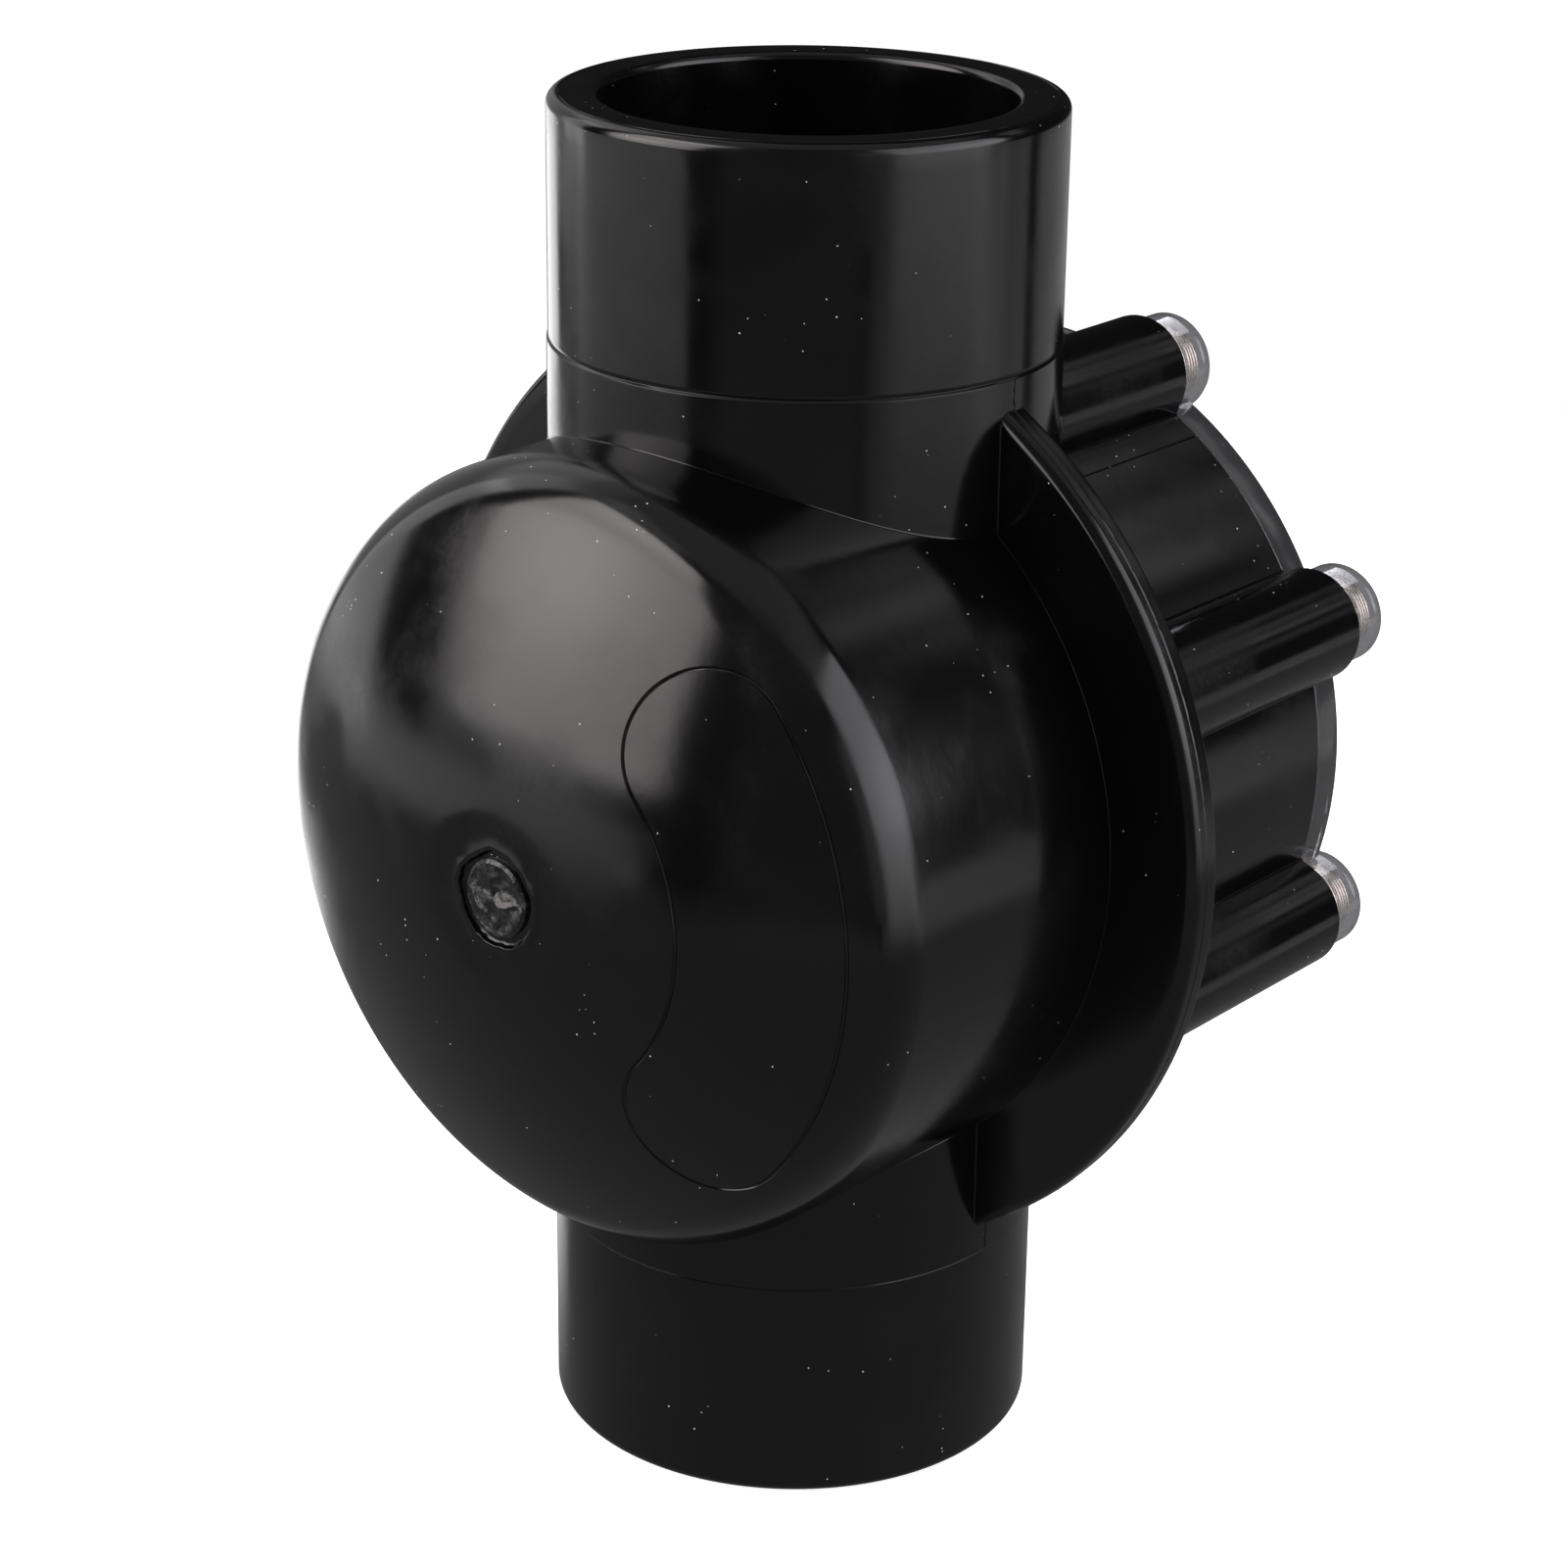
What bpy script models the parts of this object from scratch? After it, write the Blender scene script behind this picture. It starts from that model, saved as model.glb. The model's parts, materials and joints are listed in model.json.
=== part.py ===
"""Non-return valve with a hinged flapper, for 1 1/2 inch and 2 inch plastic pipe. Metres, +Z along the flow.

The clear cover faces -Y and the domed back faces +Y. Pieces of the drum are drawn in the drum's
own frame: X across, Y up, Z out of the cover, with the origin where the drum axis meets the pipe axis.
The door and what is clamped to it are drawn in the hinge frame: X along the seat's slope, Z off the seat.
"""

import math

import bmesh
import bpy
from mathutils import Matrix, Vector

# Clearances. Pieces that touch keep SEAT_GAP, and the door turns on its pin with PIN_CLEARANCE.
SEAT_GAP = 0.0003
PIN_CLEARANCE = 0.00015

# Ports: 2 inch pipe couples over the outside, 1 1/2 inch pipe goes into the socket
HEIGHT = 0.167
PORT_RADIUS = 0.03015
SOCKET_RADIUS = 0.02415
SOCKET_DEPTH = 0.0283
SOCKET_LEAD = 0.001
PORT_EDGE = 0.0015
PORT_STEP = 0.00015
OUTLET_RADIUS = 0.0205

# Drum and domed back
DRUM_RADIUS = 0.048
DRUM_FRONT = 0.0415
WALL = 0.0045
DOME_DEPTH = 0.054
CROWN_RADIUS = 0.09
SHOULDER_RADIUS = 0.009
FLANK_DRAFT = 0.0006

# Mould flange round the drum, on the plane of the pipe axis
FLANGE_WIDTH = 0.0118
FLANGE_BACK = 0.002
FLANGE_FRONT = 0.0024
FLANGE_ROUND = 0.0013
FLANGE_EDGE = 0.0005
BACK_FILLET = 0.0004
FRONT_FILLET = 0.0015
RIM_GROOVE = 0.0003
PARTING_LEVEL = 0.0004

# Marks of the moulding on the back: the gate scar and the outline of the bare label panel
GATE_RADIUS = 0.00575
GATE_DEPTH = 0.0012
STUB_RADIUS = 0.0047
STUB_HEIGHT = 0.0009
PANEL_MARGIN = 0.0053
PANEL_HALF_WIDTH = 0.0091
PANEL_HALF_ANGLE = math.radians(41)
LINE_WIDTH = 0.0005
LINE_DEPTH = 0.0003
INSERT_HALF_WIDTH = 0.0278

# Screw bosses on the drum, lugs on the cover, and their screws
BOSS_COUNT = 8
BOSS_OUTSET = 0.0014
BOSS_RADIUS = 0.007
LUG_RADIUS = 0.00615
LUG_HEIGHT = 0.0069
LUG_FLOOR = 0.0018
SCREW_RADIUS = 0.002
SCREW_GRIP = 0.024
SCREW_TIP = 0.0025
HEAD_RADIUS = 0.0042
HEAD_HEIGHT = 0.003
WASHER_RADIUS = 0.0047
WASHER_THICKNESS = 0.001
COUNTERBORE_PLAY = 0.0004

# Cover
COVER_THICKNESS = 0.0053
COVER_EDGE = 0.0008
WINDOW_RIM = 0.0095
WINDOW_SINK = 0.0012
SPIGOT_LENGTH = 0.0075
SPIGOT_WALL = 0.0065
RING_CORD = 0.0012
RING_LAND = 0.0022

# Slanted seat at the end of the oval inlet passage. It fills the chamber up to the hinge, which keeps HINGE_INSET to the wall.
SEAT_ANGLE = math.radians(45)
SEAT_DROP = 0.0057
SEAT_LAND = 0.004

# Door, its soft disc and what clamps it. The disc and the door lap over the seat's bore, and the clamping plate clears it.
HINGE_INSET = 0.007455
HINGE_MARGIN = 0.0055
HINGE_RISE = 0.003
SEAL_THICKNESS = 0.0025
SEAL_LAP = 0.0035
DOOR_LAP = 0.004
DOOR_THICKNESS = 0.0035
DOOR_DISH = 0.001
DOOR_RIM = 0.0035
DOOR_RIB = 0.002
DOOR_RIB_RISE = 0.0018
HUB_RADIUS = 0.0055
HUB_RISE = 0.004
KNUCKLE_RADIUS = 0.0045
KNUCKLE_LENGTH = 0.008
KNUCKLE_START = 0.0085
RETAINER_PLAY = 0.004
RETAINER_THICKNESS = 0.002
RETAINER_SCREW_RADIUS = 0.0019
RETAINER_HEAD_RADIUS = 0.0038
RETAINER_HEAD_HEIGHT = 0.0022

# Hinge pin, its bosses and the spring between the knuckles
PIN_RADIUS = 0.002
PIN_BEARING = 0.014
PIN_BOSS_WALL = 0.0022
PIN_RIB = 0.005
KNUCKLE_END_PLAY = 0.0006
SPRING_WIRE = 0.00045
SPRING_TURNS = 5
SPRING_LEG = 0.016

# Facets
DRUM_SIDES = 52
PORT_SIDES = 40
DOOR_SIDES = 40
LUG_SIDES = 16
PIN_SIDES = 16
SCREW_SIDES = 12
BOSS_STEPS = 6

# Worked out from the sizes above
DRUM_LEVEL = HEIGHT / 2
CHAMBER_RADIUS = DRUM_RADIUS - WALL
FLANGE_RADIUS = DRUM_RADIUS + FLANGE_WIDTH
BOSS_CIRCLE = DRUM_RADIUS + BOSS_OUTSET
PANEL_CIRCLE = DRUM_RADIUS - PANEL_MARGIN - PANEL_HALF_WIDTH
COVER_BACK = DRUM_FRONT + SEAT_GAP
COVER_FRONT = DRUM_FRONT + COVER_THICKNESS
LUG_END = DRUM_FRONT + LUG_HEIGHT
SPIGOT_RADIUS = CHAMBER_RADIUS - SEAT_GAP
PIN_HOLE_RADIUS = PIN_RADIUS + PIN_CLEARANCE
PIN_BOSS_RADIUS = PIN_RADIUS + PIN_BOSS_WALL
KNUCKLE_END = KNUCKLE_START + KNUCKLE_LENGTH
PIN_BOSS_START = KNUCKLE_END + KNUCKLE_END_PLAY
SLOPE = Vector((math.cos(SEAT_ANGLE), math.sin(SEAT_ANGLE)))
OFF_SEAT = Vector((-math.sin(SEAT_ANGLE), math.cos(SEAT_ANGLE)))
SEAT_CENTRE = Vector((0, -SEAT_DROP))
HINGE_CIRCLE = CHAMBER_RADIUS - HINGE_INSET
HINGE_LIFT = SEAT_CENTRE.dot(OFF_SEAT) + HINGE_RISE
HINGE_REACH = SEAT_CENTRE.dot(SLOPE) + math.sqrt(HINGE_CIRCLE**2 - HINGE_LIFT**2)
SEAT_RADIUS = HINGE_REACH - SEAT_LAND - HINGE_MARGIN
SEAL_RADIUS = SEAT_RADIUS + SEAL_LAP
DOOR_RADIUS = SEAT_RADIUS + DOOR_LAP
RETAINER_RADIUS = SEAT_RADIUS - RETAINER_PLAY
HINGE = SEAT_CENTRE - SLOPE * HINGE_REACH + OFF_SEAT * HINGE_RISE
PASSAGE_SEMI_X = SEAT_RADIUS * math.cos(SEAT_ANGLE)
SEAT_WALL_SEMI_X = (SEAT_RADIUS + SEAT_LAND) * math.cos(SEAT_ANGLE)
SEAL_BOTTOM = SEAT_GAP - HINGE_RISE
DOOR_BOTTOM = SEAL_BOTTOM + SEAL_THICKNESS + SEAT_GAP
DOOR_TOP = DOOR_BOTTOM + DOOR_THICKNESS
RETAINER_TOP = SEAL_BOTTOM - SEAT_GAP
RETAINER_BOTTOM = RETAINER_TOP - RETAINER_THICKNESS
SPRING_RADIUS = PIN_RADIUS + 2 * SEAT_GAP + 1.5 * SPRING_WIRE
FACING_FRONT = (math.pi / 2, 0, 0)
BOSS_ANGLES = [math.pi * (2 * i + 1) / BOSS_COUNT for i in range(BOSS_COUNT)]


def clear_scene():
    for item in list(bpy.data.objects):
        bpy.data.objects.remove(item)


def material(name, colour, roughness, metallic=0.0, alpha=1.0):
    result = bpy.data.materials.new(name)
    result.use_nodes = True
    shader = result.node_tree.nodes["Principled BSDF"]
    shader.inputs["Base Color"].default_value = (*colour, 1)
    shader.inputs["Roughness"].default_value = roughness
    shader.inputs["Metallic"].default_value = metallic
    shader.inputs["Alpha"].default_value = alpha
    return result


def empty(name, parent=None, location=(0, 0, 0), rotation=(0, 0, 0)):
    result = bpy.data.objects.new(name, None)
    bpy.context.scene.collection.objects.link(result)
    result.parent = parent
    result.location = location
    result.rotation_euler = rotation
    return result


def mesh_from(bm, name):
    """A smooth-shaded mesh from a bmesh, with its normals out and its creases sharp."""
    bmesh.ops.recalc_face_normals(bm, faces=bm.faces)
    mesh = bpy.data.meshes.new(name)
    bm.to_mesh(mesh)
    bm.free()
    mesh.shade_smooth()
    mesh.set_sharp_from_angle(angle=math.radians(35))
    return mesh


def place(name, mesh, parent, look=None, location=(0, 0, 0), rotation=(0, 0, 0)):
    result = bpy.data.objects.new(name, mesh)
    bpy.context.scene.collection.objects.link(result)
    result.parent = parent
    result.location = location
    result.rotation_euler = rotation
    if look and not mesh.materials:
        mesh.materials.append(look)
    return result


def helper(name, mesh, parent, location=(0, 0, 0), rotation=(0, 0, 0)):
    """An object that only shapes another one through a Boolean."""
    result = place(name, mesh, parent, None, location, rotation)
    result.hide_render = True
    result.display_type = "WIRE"
    return result


def boolean(target, operation, other):
    modifier = target.modifiers.new(other.name, "BOOLEAN")
    modifier.operation = operation
    modifier.object = other


def boolean_all(target, operation, others):
    """One Boolean with several helpers at once, which keeps the faces they share exact."""
    modifier = target.modifiers.new(operation.lower(), "BOOLEAN")
    modifier.operation = operation
    modifier.operand_type = "COLLECTION"
    modifier.collection = bpy.data.collections.new(f"{target.name}_{operation.lower()}")
    for other in others:
        modifier.collection.objects.link(other)


def arc(centre, radius, start, end, steps):
    """Points (radius, height) on an arc. Angles are in degrees from the -height direction towards +radius."""
    angles = [math.radians(start + (end - start) * i / steps) for i in range(steps + 1)]
    return [(centre[0] + radius * math.sin(a), centre[1] - radius * math.cos(a)) for a in angles]


def turned(name, profile, sides, closed=False, centre=(0, 0)):
    """A solid of revolution about Z. An open profile starts and ends on the axis, a closed one makes a ring."""
    bm = bmesh.new()
    points = [bm.verts.new((radius, 0, height)) for radius, height in profile]
    edges = [bm.edges.new(pair) for pair in zip(points, points[1:])]
    if closed:
        edges.append(bm.edges.new((points[-1], points[0])))
    bmesh.ops.spin(
        bm, geom=points + edges, cent=(0, 0, 0), axis=(0, 0, 1), angle=2 * math.pi, steps=sides, use_merge=True
    )
    bmesh.ops.remove_doubles(bm, verts=bm.verts, dist=1e-7)
    bmesh.ops.translate(bm, verts=bm.verts, vec=(*centre, 0))
    return mesh_from(bm, name)


def prisms(name, outlines, low, high):
    """One mesh of upright prisms, from flat outlines of (x, y) points."""
    bm = bmesh.new()
    for outline in outlines:
        face = bm.faces.new([bm.verts.new((x, y, low)) for x, y in outline])
        grown = bmesh.ops.extrude_face_region(bm, geom=[face])
        tops = [item for item in grown["geom"] if isinstance(item, bmesh.types.BMVert)]
        bmesh.ops.translate(bm, verts=tops, vec=(0, 0, high - low))
    return mesh_from(bm, name)


def ellipse(semi_x, semi_y, sides, centre=(0, 0)):
    angles = [2 * math.pi * i / sides for i in range(sides)]
    return [(centre[0] + semi_x * math.cos(a), centre[1] + semi_y * math.sin(a)) for a in angles]


def rectangle(low_x, high_x, low_y, high_y):
    return [(low_x, low_y), (high_x, low_y), (high_x, high_y), (low_x, high_y)]


def on_circle(radius, angle):
    return (radius * math.sin(angle), radius * math.cos(angle))


def dome_profile(inset, steps, from_radius=0.0):
    """The back's outline from the axis to the drum's flank, moved inwards by inset."""
    crown_centre = CROWN_RADIUS - DOME_DEPTH
    crown = CROWN_RADIUS - inset
    shoulder = SHOULDER_RADIUS - inset
    shoulder_reach = DRUM_RADIUS - FLANK_DRAFT - SHOULDER_RADIUS
    shoulder_level = crown_centre - math.sqrt((CROWN_RADIUS - SHOULDER_RADIUS) ** 2 - shoulder_reach**2)
    meeting = math.degrees(math.asin(shoulder_reach / (CROWN_RADIUS - SHOULDER_RADIUS)))
    first = math.degrees(math.asin(from_radius / crown))
    points = arc((0, crown_centre), crown, first, meeting, steps)
    return points + arc((shoulder_reach, shoulder_level), shoulder, meeting, 90, steps)[1:]


def drum_profile():
    """The outside of the drum with its flange, from the middle of the back to past the front, which is faced off."""
    floor = GATE_DEPTH - DOME_DEPTH
    profile = [(0, floor - STUB_HEIGHT), (0.7 * STUB_RADIUS, floor - STUB_HEIGHT), (STUB_RADIUS, floor)]
    profile += [(GATE_RADIUS, floor)]
    profile += dome_profile(0, 5, GATE_RADIUS)
    profile += arc((DRUM_RADIUS + BACK_FILLET, -FLANGE_BACK - BACK_FILLET), BACK_FILLET, 270, 180, 1)
    profile += arc((FLANGE_RADIUS - FLANGE_ROUND, FLANGE_ROUND - FLANGE_BACK), FLANGE_ROUND, 0, 90, 3)
    profile += [
        (FLANGE_RADIUS, PARTING_LEVEL - RIM_GROOVE),
        (FLANGE_RADIUS - RIM_GROOVE, PARTING_LEVEL),
        (FLANGE_RADIUS, PARTING_LEVEL + RIM_GROOVE),
        (FLANGE_RADIUS, FLANGE_FRONT - FLANGE_EDGE),
        (FLANGE_RADIUS - FLANGE_EDGE, FLANGE_FRONT),
    ]
    profile += arc((DRUM_RADIUS + FRONT_FILLET, FLANGE_FRONT + FRONT_FILLET), FRONT_FILLET, 0, -90, 3)
    return profile + [(DRUM_RADIUS, COVER_FRONT), (0, COVER_FRONT)]


def port_profile():
    """The outside of both ports, as one bar through the drum."""
    half = [(PORT_RADIUS - PORT_EDGE, 0)]
    half += arc((PORT_RADIUS - PORT_EDGE, PORT_EDGE), PORT_EDGE, 30, 90, 2)
    half += [(PORT_RADIUS, SOCKET_DEPTH), (PORT_RADIUS + PORT_STEP, SOCKET_DEPTH + PORT_STEP)]
    other_half = [(radius, HEIGHT - height) for radius, height in reversed(half)]
    return [(0, 0)] + half + other_half + [(0, HEIGHT)]


def socket_profile():
    """The socket that a pipe is glued into, from its mouth at height 0 up to the pipe stop."""
    return [
        (0, -SOCKET_LEAD),
        (SOCKET_RADIUS + 2 * SOCKET_LEAD, -SOCKET_LEAD),
        (SOCKET_RADIUS, SOCKET_LEAD),
        (SOCKET_RADIUS, SOCKET_DEPTH),
        (0, SOCKET_DEPTH),
    ]


def boss_outline(angle):
    """A round boss whose sides run straight in to the drum."""
    steps = BOSS_STEPS
    turns = [math.pi * i / steps - math.pi / 2 for i in range(steps + 1)]
    tip = [(BOSS_RADIUS * math.sin(t), BOSS_CIRCLE + BOSS_RADIUS * math.cos(t)) for t in turns]
    root = [(BOSS_RADIUS, CHAMBER_RADIUS - WALL), (-BOSS_RADIUS, CHAMBER_RADIUS - WALL)]
    turn = Matrix.Rotation(-angle, 2)
    return [tuple(turn @ Vector(point)) for point in tip + root]


def panel_outline(grow):
    """The kidney-shaped panel left of the crown, seen in the drum's frame, with its edge moved out by grow."""
    half_width = PANEL_HALF_WIDTH + grow
    ends = [math.pi - PANEL_HALF_ANGLE, math.pi + PANEL_HALF_ANGLE]
    steps = 15
    sweep = [ends[0] + (ends[1] - ends[0]) * i / steps for i in range(steps + 1)]
    points = []
    for side, angles in ((1, sweep), (-1, sweep[::-1])):
        radius = PANEL_CIRCLE + side * half_width
        points += [(radius * math.cos(a), radius * math.sin(a)) for a in angles]
        end = angles[-1]
        middle = (PANEL_CIRCLE * math.cos(end), PANEL_CIRCLE * math.sin(end))
        first = end if side == 1 else end + math.pi
        cap = [first + math.pi * i / 8 for i in range(1, 8)]
        points += [(middle[0] + half_width * math.cos(a), middle[1] + half_width * math.sin(a)) for a in cap]
    return points


def panel_line(drum):
    """A thin wall that follows the panel's edge, kept to the outermost LINE_DEPTH of the dome."""
    bm = bmesh.new()
    rings = [[bm.verts.new((x, y, -DOME_DEPTH)) for x, y in panel_outline(s * LINE_WIDTH / 2)] for s in (1, -1)]
    count = len(rings[0])
    for i in range(count):
        j = (i + 1) % count
        bm.faces.new((rings[0][i], rings[0][j], rings[1][j], rings[1][i]))
    grown = bmesh.ops.extrude_face_region(bm, geom=bm.faces[:])
    tops = [item for item in grown["geom"] if isinstance(item, bmesh.types.BMVert)]
    bmesh.ops.translate(bm, verts=tops, vec=(0, 0, SHOULDER_RADIUS + 2 * PANEL_HALF_WIDTH))
    line = helper("panel_line", mesh_from(bm, "panel_line"), drum)
    below = dome_profile(LINE_DEPTH, 10) + [(0, 0)]
    boolean(line, "DIFFERENCE", helper("panel_depth", turned("panel_depth", below, DRUM_SIDES), drum))
    return line


def insert_lines(drum):
    """Fine lines along the drum where the mould's port inserts end, beside each port."""
    level = math.sqrt(DRUM_RADIUS**2 - INSERT_HALF_WIDTH**2)
    outlines = []
    for side in (-1, 1):
        edges = sorted(side * (INSERT_HALF_WIDTH + s * LINE_WIDTH / 2) for s in (-1, 1))
        outlines.append(rectangle(*edges, level - LINE_DEPTH, level + LINE_WIDTH))
        outlines.append(rectangle(*edges, -level - LINE_WIDTH, LINE_DEPTH - level))
    low = FLANGE_FRONT + FRONT_FILLET
    return helper("insert_lines", prisms("insert_lines", outlines, low, COVER_FRONT), drum)


def seat_housing(drum):
    """The oval tube that carries the seat, joined to the dome behind it, with the pin's rear boss."""
    wall_semi_y = SEAT_RADIUS + SEAT_LAND
    turn = Matrix.Rotation(math.pi / 2, 4, "X")
    tube_mesh = prisms("seat_tube", [ellipse(SEAT_WALL_SEMI_X, wall_semi_y, PORT_SIDES)], -DRUM_LEVEL, DRUM_RADIUS)
    tube_mesh.transform(turn.inverted())
    tube = helper("seat_tube", tube_mesh, drum)
    backing = rectangle(-SEAT_WALL_SEMI_X, SEAT_WALL_SEMI_X, -DRUM_RADIUS, DRUM_RADIUS)
    boolean(tube, "UNION", helper("seat_backing", prisms("seat_backing", [backing], -DOME_DEPTH, 0), drum))
    rib = rectangle(HINGE.x, 0, HINGE.y - PIN_RIB / 2, HINGE.y + PIN_RIB / 2)
    rib_mesh = prisms("pin_rib", [rib], -DOME_DEPTH, -PIN_BOSS_START)
    slope_span = 2 * DRUM_RADIUS
    above = rectangle(-slope_span, slope_span, 0, slope_span)
    above_mesh = prisms("above_seat", [above], -slope_span, slope_span)
    lift = Matrix.Translation((*SEAT_CENTRE, 0)) @ Matrix.Rotation(SEAT_ANGLE, 4, "Z")
    above_mesh.transform(lift)
    boolean(tube, "DIFFERENCE", helper("above_seat", above_mesh, drum))
    boolean(tube, "UNION", helper("pin_rib", rib_mesh, drum))
    boss_mesh = prisms("pin_boss", [ellipse(PIN_BOSS_RADIUS, PIN_BOSS_RADIUS, LUG_SIDES, HINGE)], -DOME_DEPTH, -PIN_BOSS_START)
    boolean(tube, "UNION", helper("pin_boss", boss_mesh, drum))
    half_wall = WALL / 2
    envelope = dome_profile(half_wall, 3) + [(DRUM_RADIUS - half_wall, 0)]
    envelope += [(DRUM_RADIUS - half_wall, DRUM_FRONT), (0, DRUM_FRONT)]
    boolean(tube, "INTERSECT", helper("seat_envelope", turned("seat_envelope", envelope, DRUM_SIDES), drum))
    return tube


def body_holes(frame, drum):
    """All that is cut from the body after its seat is in place: sockets, passages and screw holes."""
    socket = turned("socket", socket_profile(), PORT_SIDES)
    oval = [ellipse(PASSAGE_SEMI_X, SEAT_RADIUS, PORT_SIDES)]
    passage = prisms("inlet_passage", oval, SOCKET_DEPTH - SOCKET_LEAD, DRUM_LEVEL + PASSAGE_SEMI_X)
    circle = [ellipse(OUTLET_RADIUS, OUTLET_RADIUS, PORT_SIDES)]
    outlet = prisms("outlet_bore", circle, DRUM_LEVEL + OUTLET_RADIUS, HEIGHT - SOCKET_DEPTH + SOCKET_LEAD)
    hole_radius = SCREW_RADIUS + SEAT_GAP
    holes = [ellipse(hole_radius, hole_radius, SCREW_SIDES, on_circle(BOSS_CIRCLE, a)) for a in BOSS_ANGLES]
    depth = SCREW_GRIP + 2 * SCREW_TIP
    screw_holes = prisms("screw_holes", holes, DRUM_FRONT - depth, COVER_FRONT)
    pin_circle = [ellipse(PIN_HOLE_RADIUS, PIN_HOLE_RADIUS, PIN_SIDES, HINGE)]
    pin_hole = prisms("pin_hole", pin_circle, -PIN_BOSS_START - PIN_BEARING, -KNUCKLE_END)
    return [
        helper("bottom_socket", socket, frame),
        helper("top_socket", socket, frame, (0, 0, HEIGHT), (math.pi, 0, 0)),
        helper("inlet_passage", passage, frame),
        helper("outlet_bore", outlet, frame),
        helper("screw_holes", screw_holes, drum),
        helper("pin_hole", pin_hole, drum),
        panel_line(drum),
        insert_lines(drum),
    ]


def body(frame, drum, look):
    result = place("body", turned("body", drum_profile(), DRUM_SIDES), drum, look)
    ports = helper("ports", turned("ports", port_profile(), PORT_SIDES), frame)
    boss_outlines = [boss_outline(angle) for angle in BOSS_ANGLES]
    bosses = helper("bosses", prisms("bosses", boss_outlines, -FLANGE_BACK / 2, LUG_END), drum)
    boolean_all(result, "UNION", [ports, bosses])
    chamber = dome_profile(WALL, 3) + [(CHAMBER_RADIUS, 0), (CHAMBER_RADIUS, DRUM_FRONT)]
    chamber += [(2 * DRUM_RADIUS, DRUM_FRONT), (2 * DRUM_RADIUS, 2 * DRUM_FRONT), (0, 2 * DRUM_FRONT)]
    boolean(result, "DIFFERENCE", helper("chamber", turned("chamber", chamber, DRUM_SIDES), drum))
    boolean(result, "UNION", seat_housing(drum))
    boolean_all(result, "DIFFERENCE", body_holes(frame, drum))
    return result


def cover_profile():
    """The clear cover with its spigot and the groove for the ring, from the middle of its back."""
    spigot_end = COVER_BACK - SPIGOT_LENGTH
    inner = SPIGOT_RADIUS - SPIGOT_WALL
    groove_front = COVER_BACK - RING_LAND
    groove_back = groove_front - 2 * (RING_CORD + SEAT_GAP)
    groove_floor = SPIGOT_RADIUS - 2 * RING_CORD - SEAT_GAP
    window = DRUM_RADIUS - WINDOW_RIM
    edge = COVER_EDGE
    return [
        (0, COVER_BACK),
        (inner, COVER_BACK),
        (inner, spigot_end),
        (SPIGOT_RADIUS - edge / 2, spigot_end),
        (SPIGOT_RADIUS, spigot_end + edge / 2),
        (SPIGOT_RADIUS, groove_back),
        (groove_floor, groove_back),
        (groove_floor, groove_front),
        (SPIGOT_RADIUS, groove_front),
        (SPIGOT_RADIUS, COVER_BACK),
        (DRUM_RADIUS, COVER_BACK),
        (DRUM_RADIUS, COVER_FRONT - edge),
        (DRUM_RADIUS - 0.3 * edge, COVER_FRONT - 0.3 * edge),
        (DRUM_RADIUS - edge, COVER_FRONT),
        (window + WINDOW_SINK, COVER_FRONT),
        (window, COVER_FRONT - WINDOW_SINK),
        (0, COVER_FRONT - WINDOW_SINK),
    ]


def cover(drum, look):
    result = place("cover", turned("cover", cover_profile(), DRUM_SIDES), drum, look)
    lugs = [ellipse(LUG_RADIUS, LUG_RADIUS, LUG_SIDES, on_circle(BOSS_CIRCLE, a)) for a in BOSS_ANGLES]
    boolean(result, "UNION", helper("lugs", prisms("lugs", lugs, COVER_BACK, LUG_END), drum))
    boss = [ellipse(PIN_BOSS_RADIUS, PIN_BOSS_RADIUS, LUG_SIDES, HINGE)]
    boss_mesh = prisms("cover_pin_boss", boss, PIN_BOSS_START, COVER_BACK + SEAT_GAP)
    boolean(result, "UNION", helper("cover_pin_boss", boss_mesh, drum))
    hollow = WASHER_RADIUS + COUNTERBORE_PLAY
    hollows = [ellipse(hollow, hollow, LUG_SIDES, on_circle(BOSS_CIRCLE, a)) for a in BOSS_ANGLES]
    hollow_mesh = prisms("counterbores", hollows, DRUM_FRONT + LUG_FLOOR, LUG_END + SEAT_GAP)
    boolean(result, "DIFFERENCE", helper("counterbores", hollow_mesh, drum))
    hole = SCREW_RADIUS + SEAT_GAP
    holes = [ellipse(hole, hole, SCREW_SIDES, on_circle(BOSS_CIRCLE, a)) for a in BOSS_ANGLES]
    through = prisms("cover_holes", holes, DRUM_FRONT, COVER_FRONT)
    boolean(result, "DIFFERENCE", helper("cover_holes", through, drum))
    pin_hole = [ellipse(PIN_HOLE_RADIUS, PIN_HOLE_RADIUS, PIN_SIDES, HINGE)]
    blind = prisms("cover_pin_hole", pin_hole, PIN_BOSS_START - SEAT_GAP, PIN_BOSS_START + PIN_BEARING)
    boolean(result, "DIFFERENCE", helper("cover_pin_hole", blind, drum))
    return result


def cover_ring(drum, look):
    """The rubber ring, in the middle of its groove."""
    centre = COVER_BACK - RING_LAND - RING_CORD - SEAT_GAP
    circle = arc((CHAMBER_RADIUS - SEAT_GAP - RING_CORD, centre), RING_CORD, 0, 360, 6)[:-1]
    place("cover_o_ring", turned("cover_o_ring", circle, DRUM_SIDES, closed=True), drum, look)


def pan_head_screw(name, shank_radius, length, tip, head_radius, head_height, sides):
    """A pan head screw whose head sits on height 0 and whose shank points down."""
    profile = [
        (0, -length),
        (0.4 * shank_radius, -length),
        (shank_radius, tip - length),
        (shank_radius, 0),
        (head_radius, 0),
        (head_radius, 0.4 * head_height),
        (0.75 * head_radius, 0.9 * head_height),
        (0, head_height),
    ]
    return turned(name, profile, sides)


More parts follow.
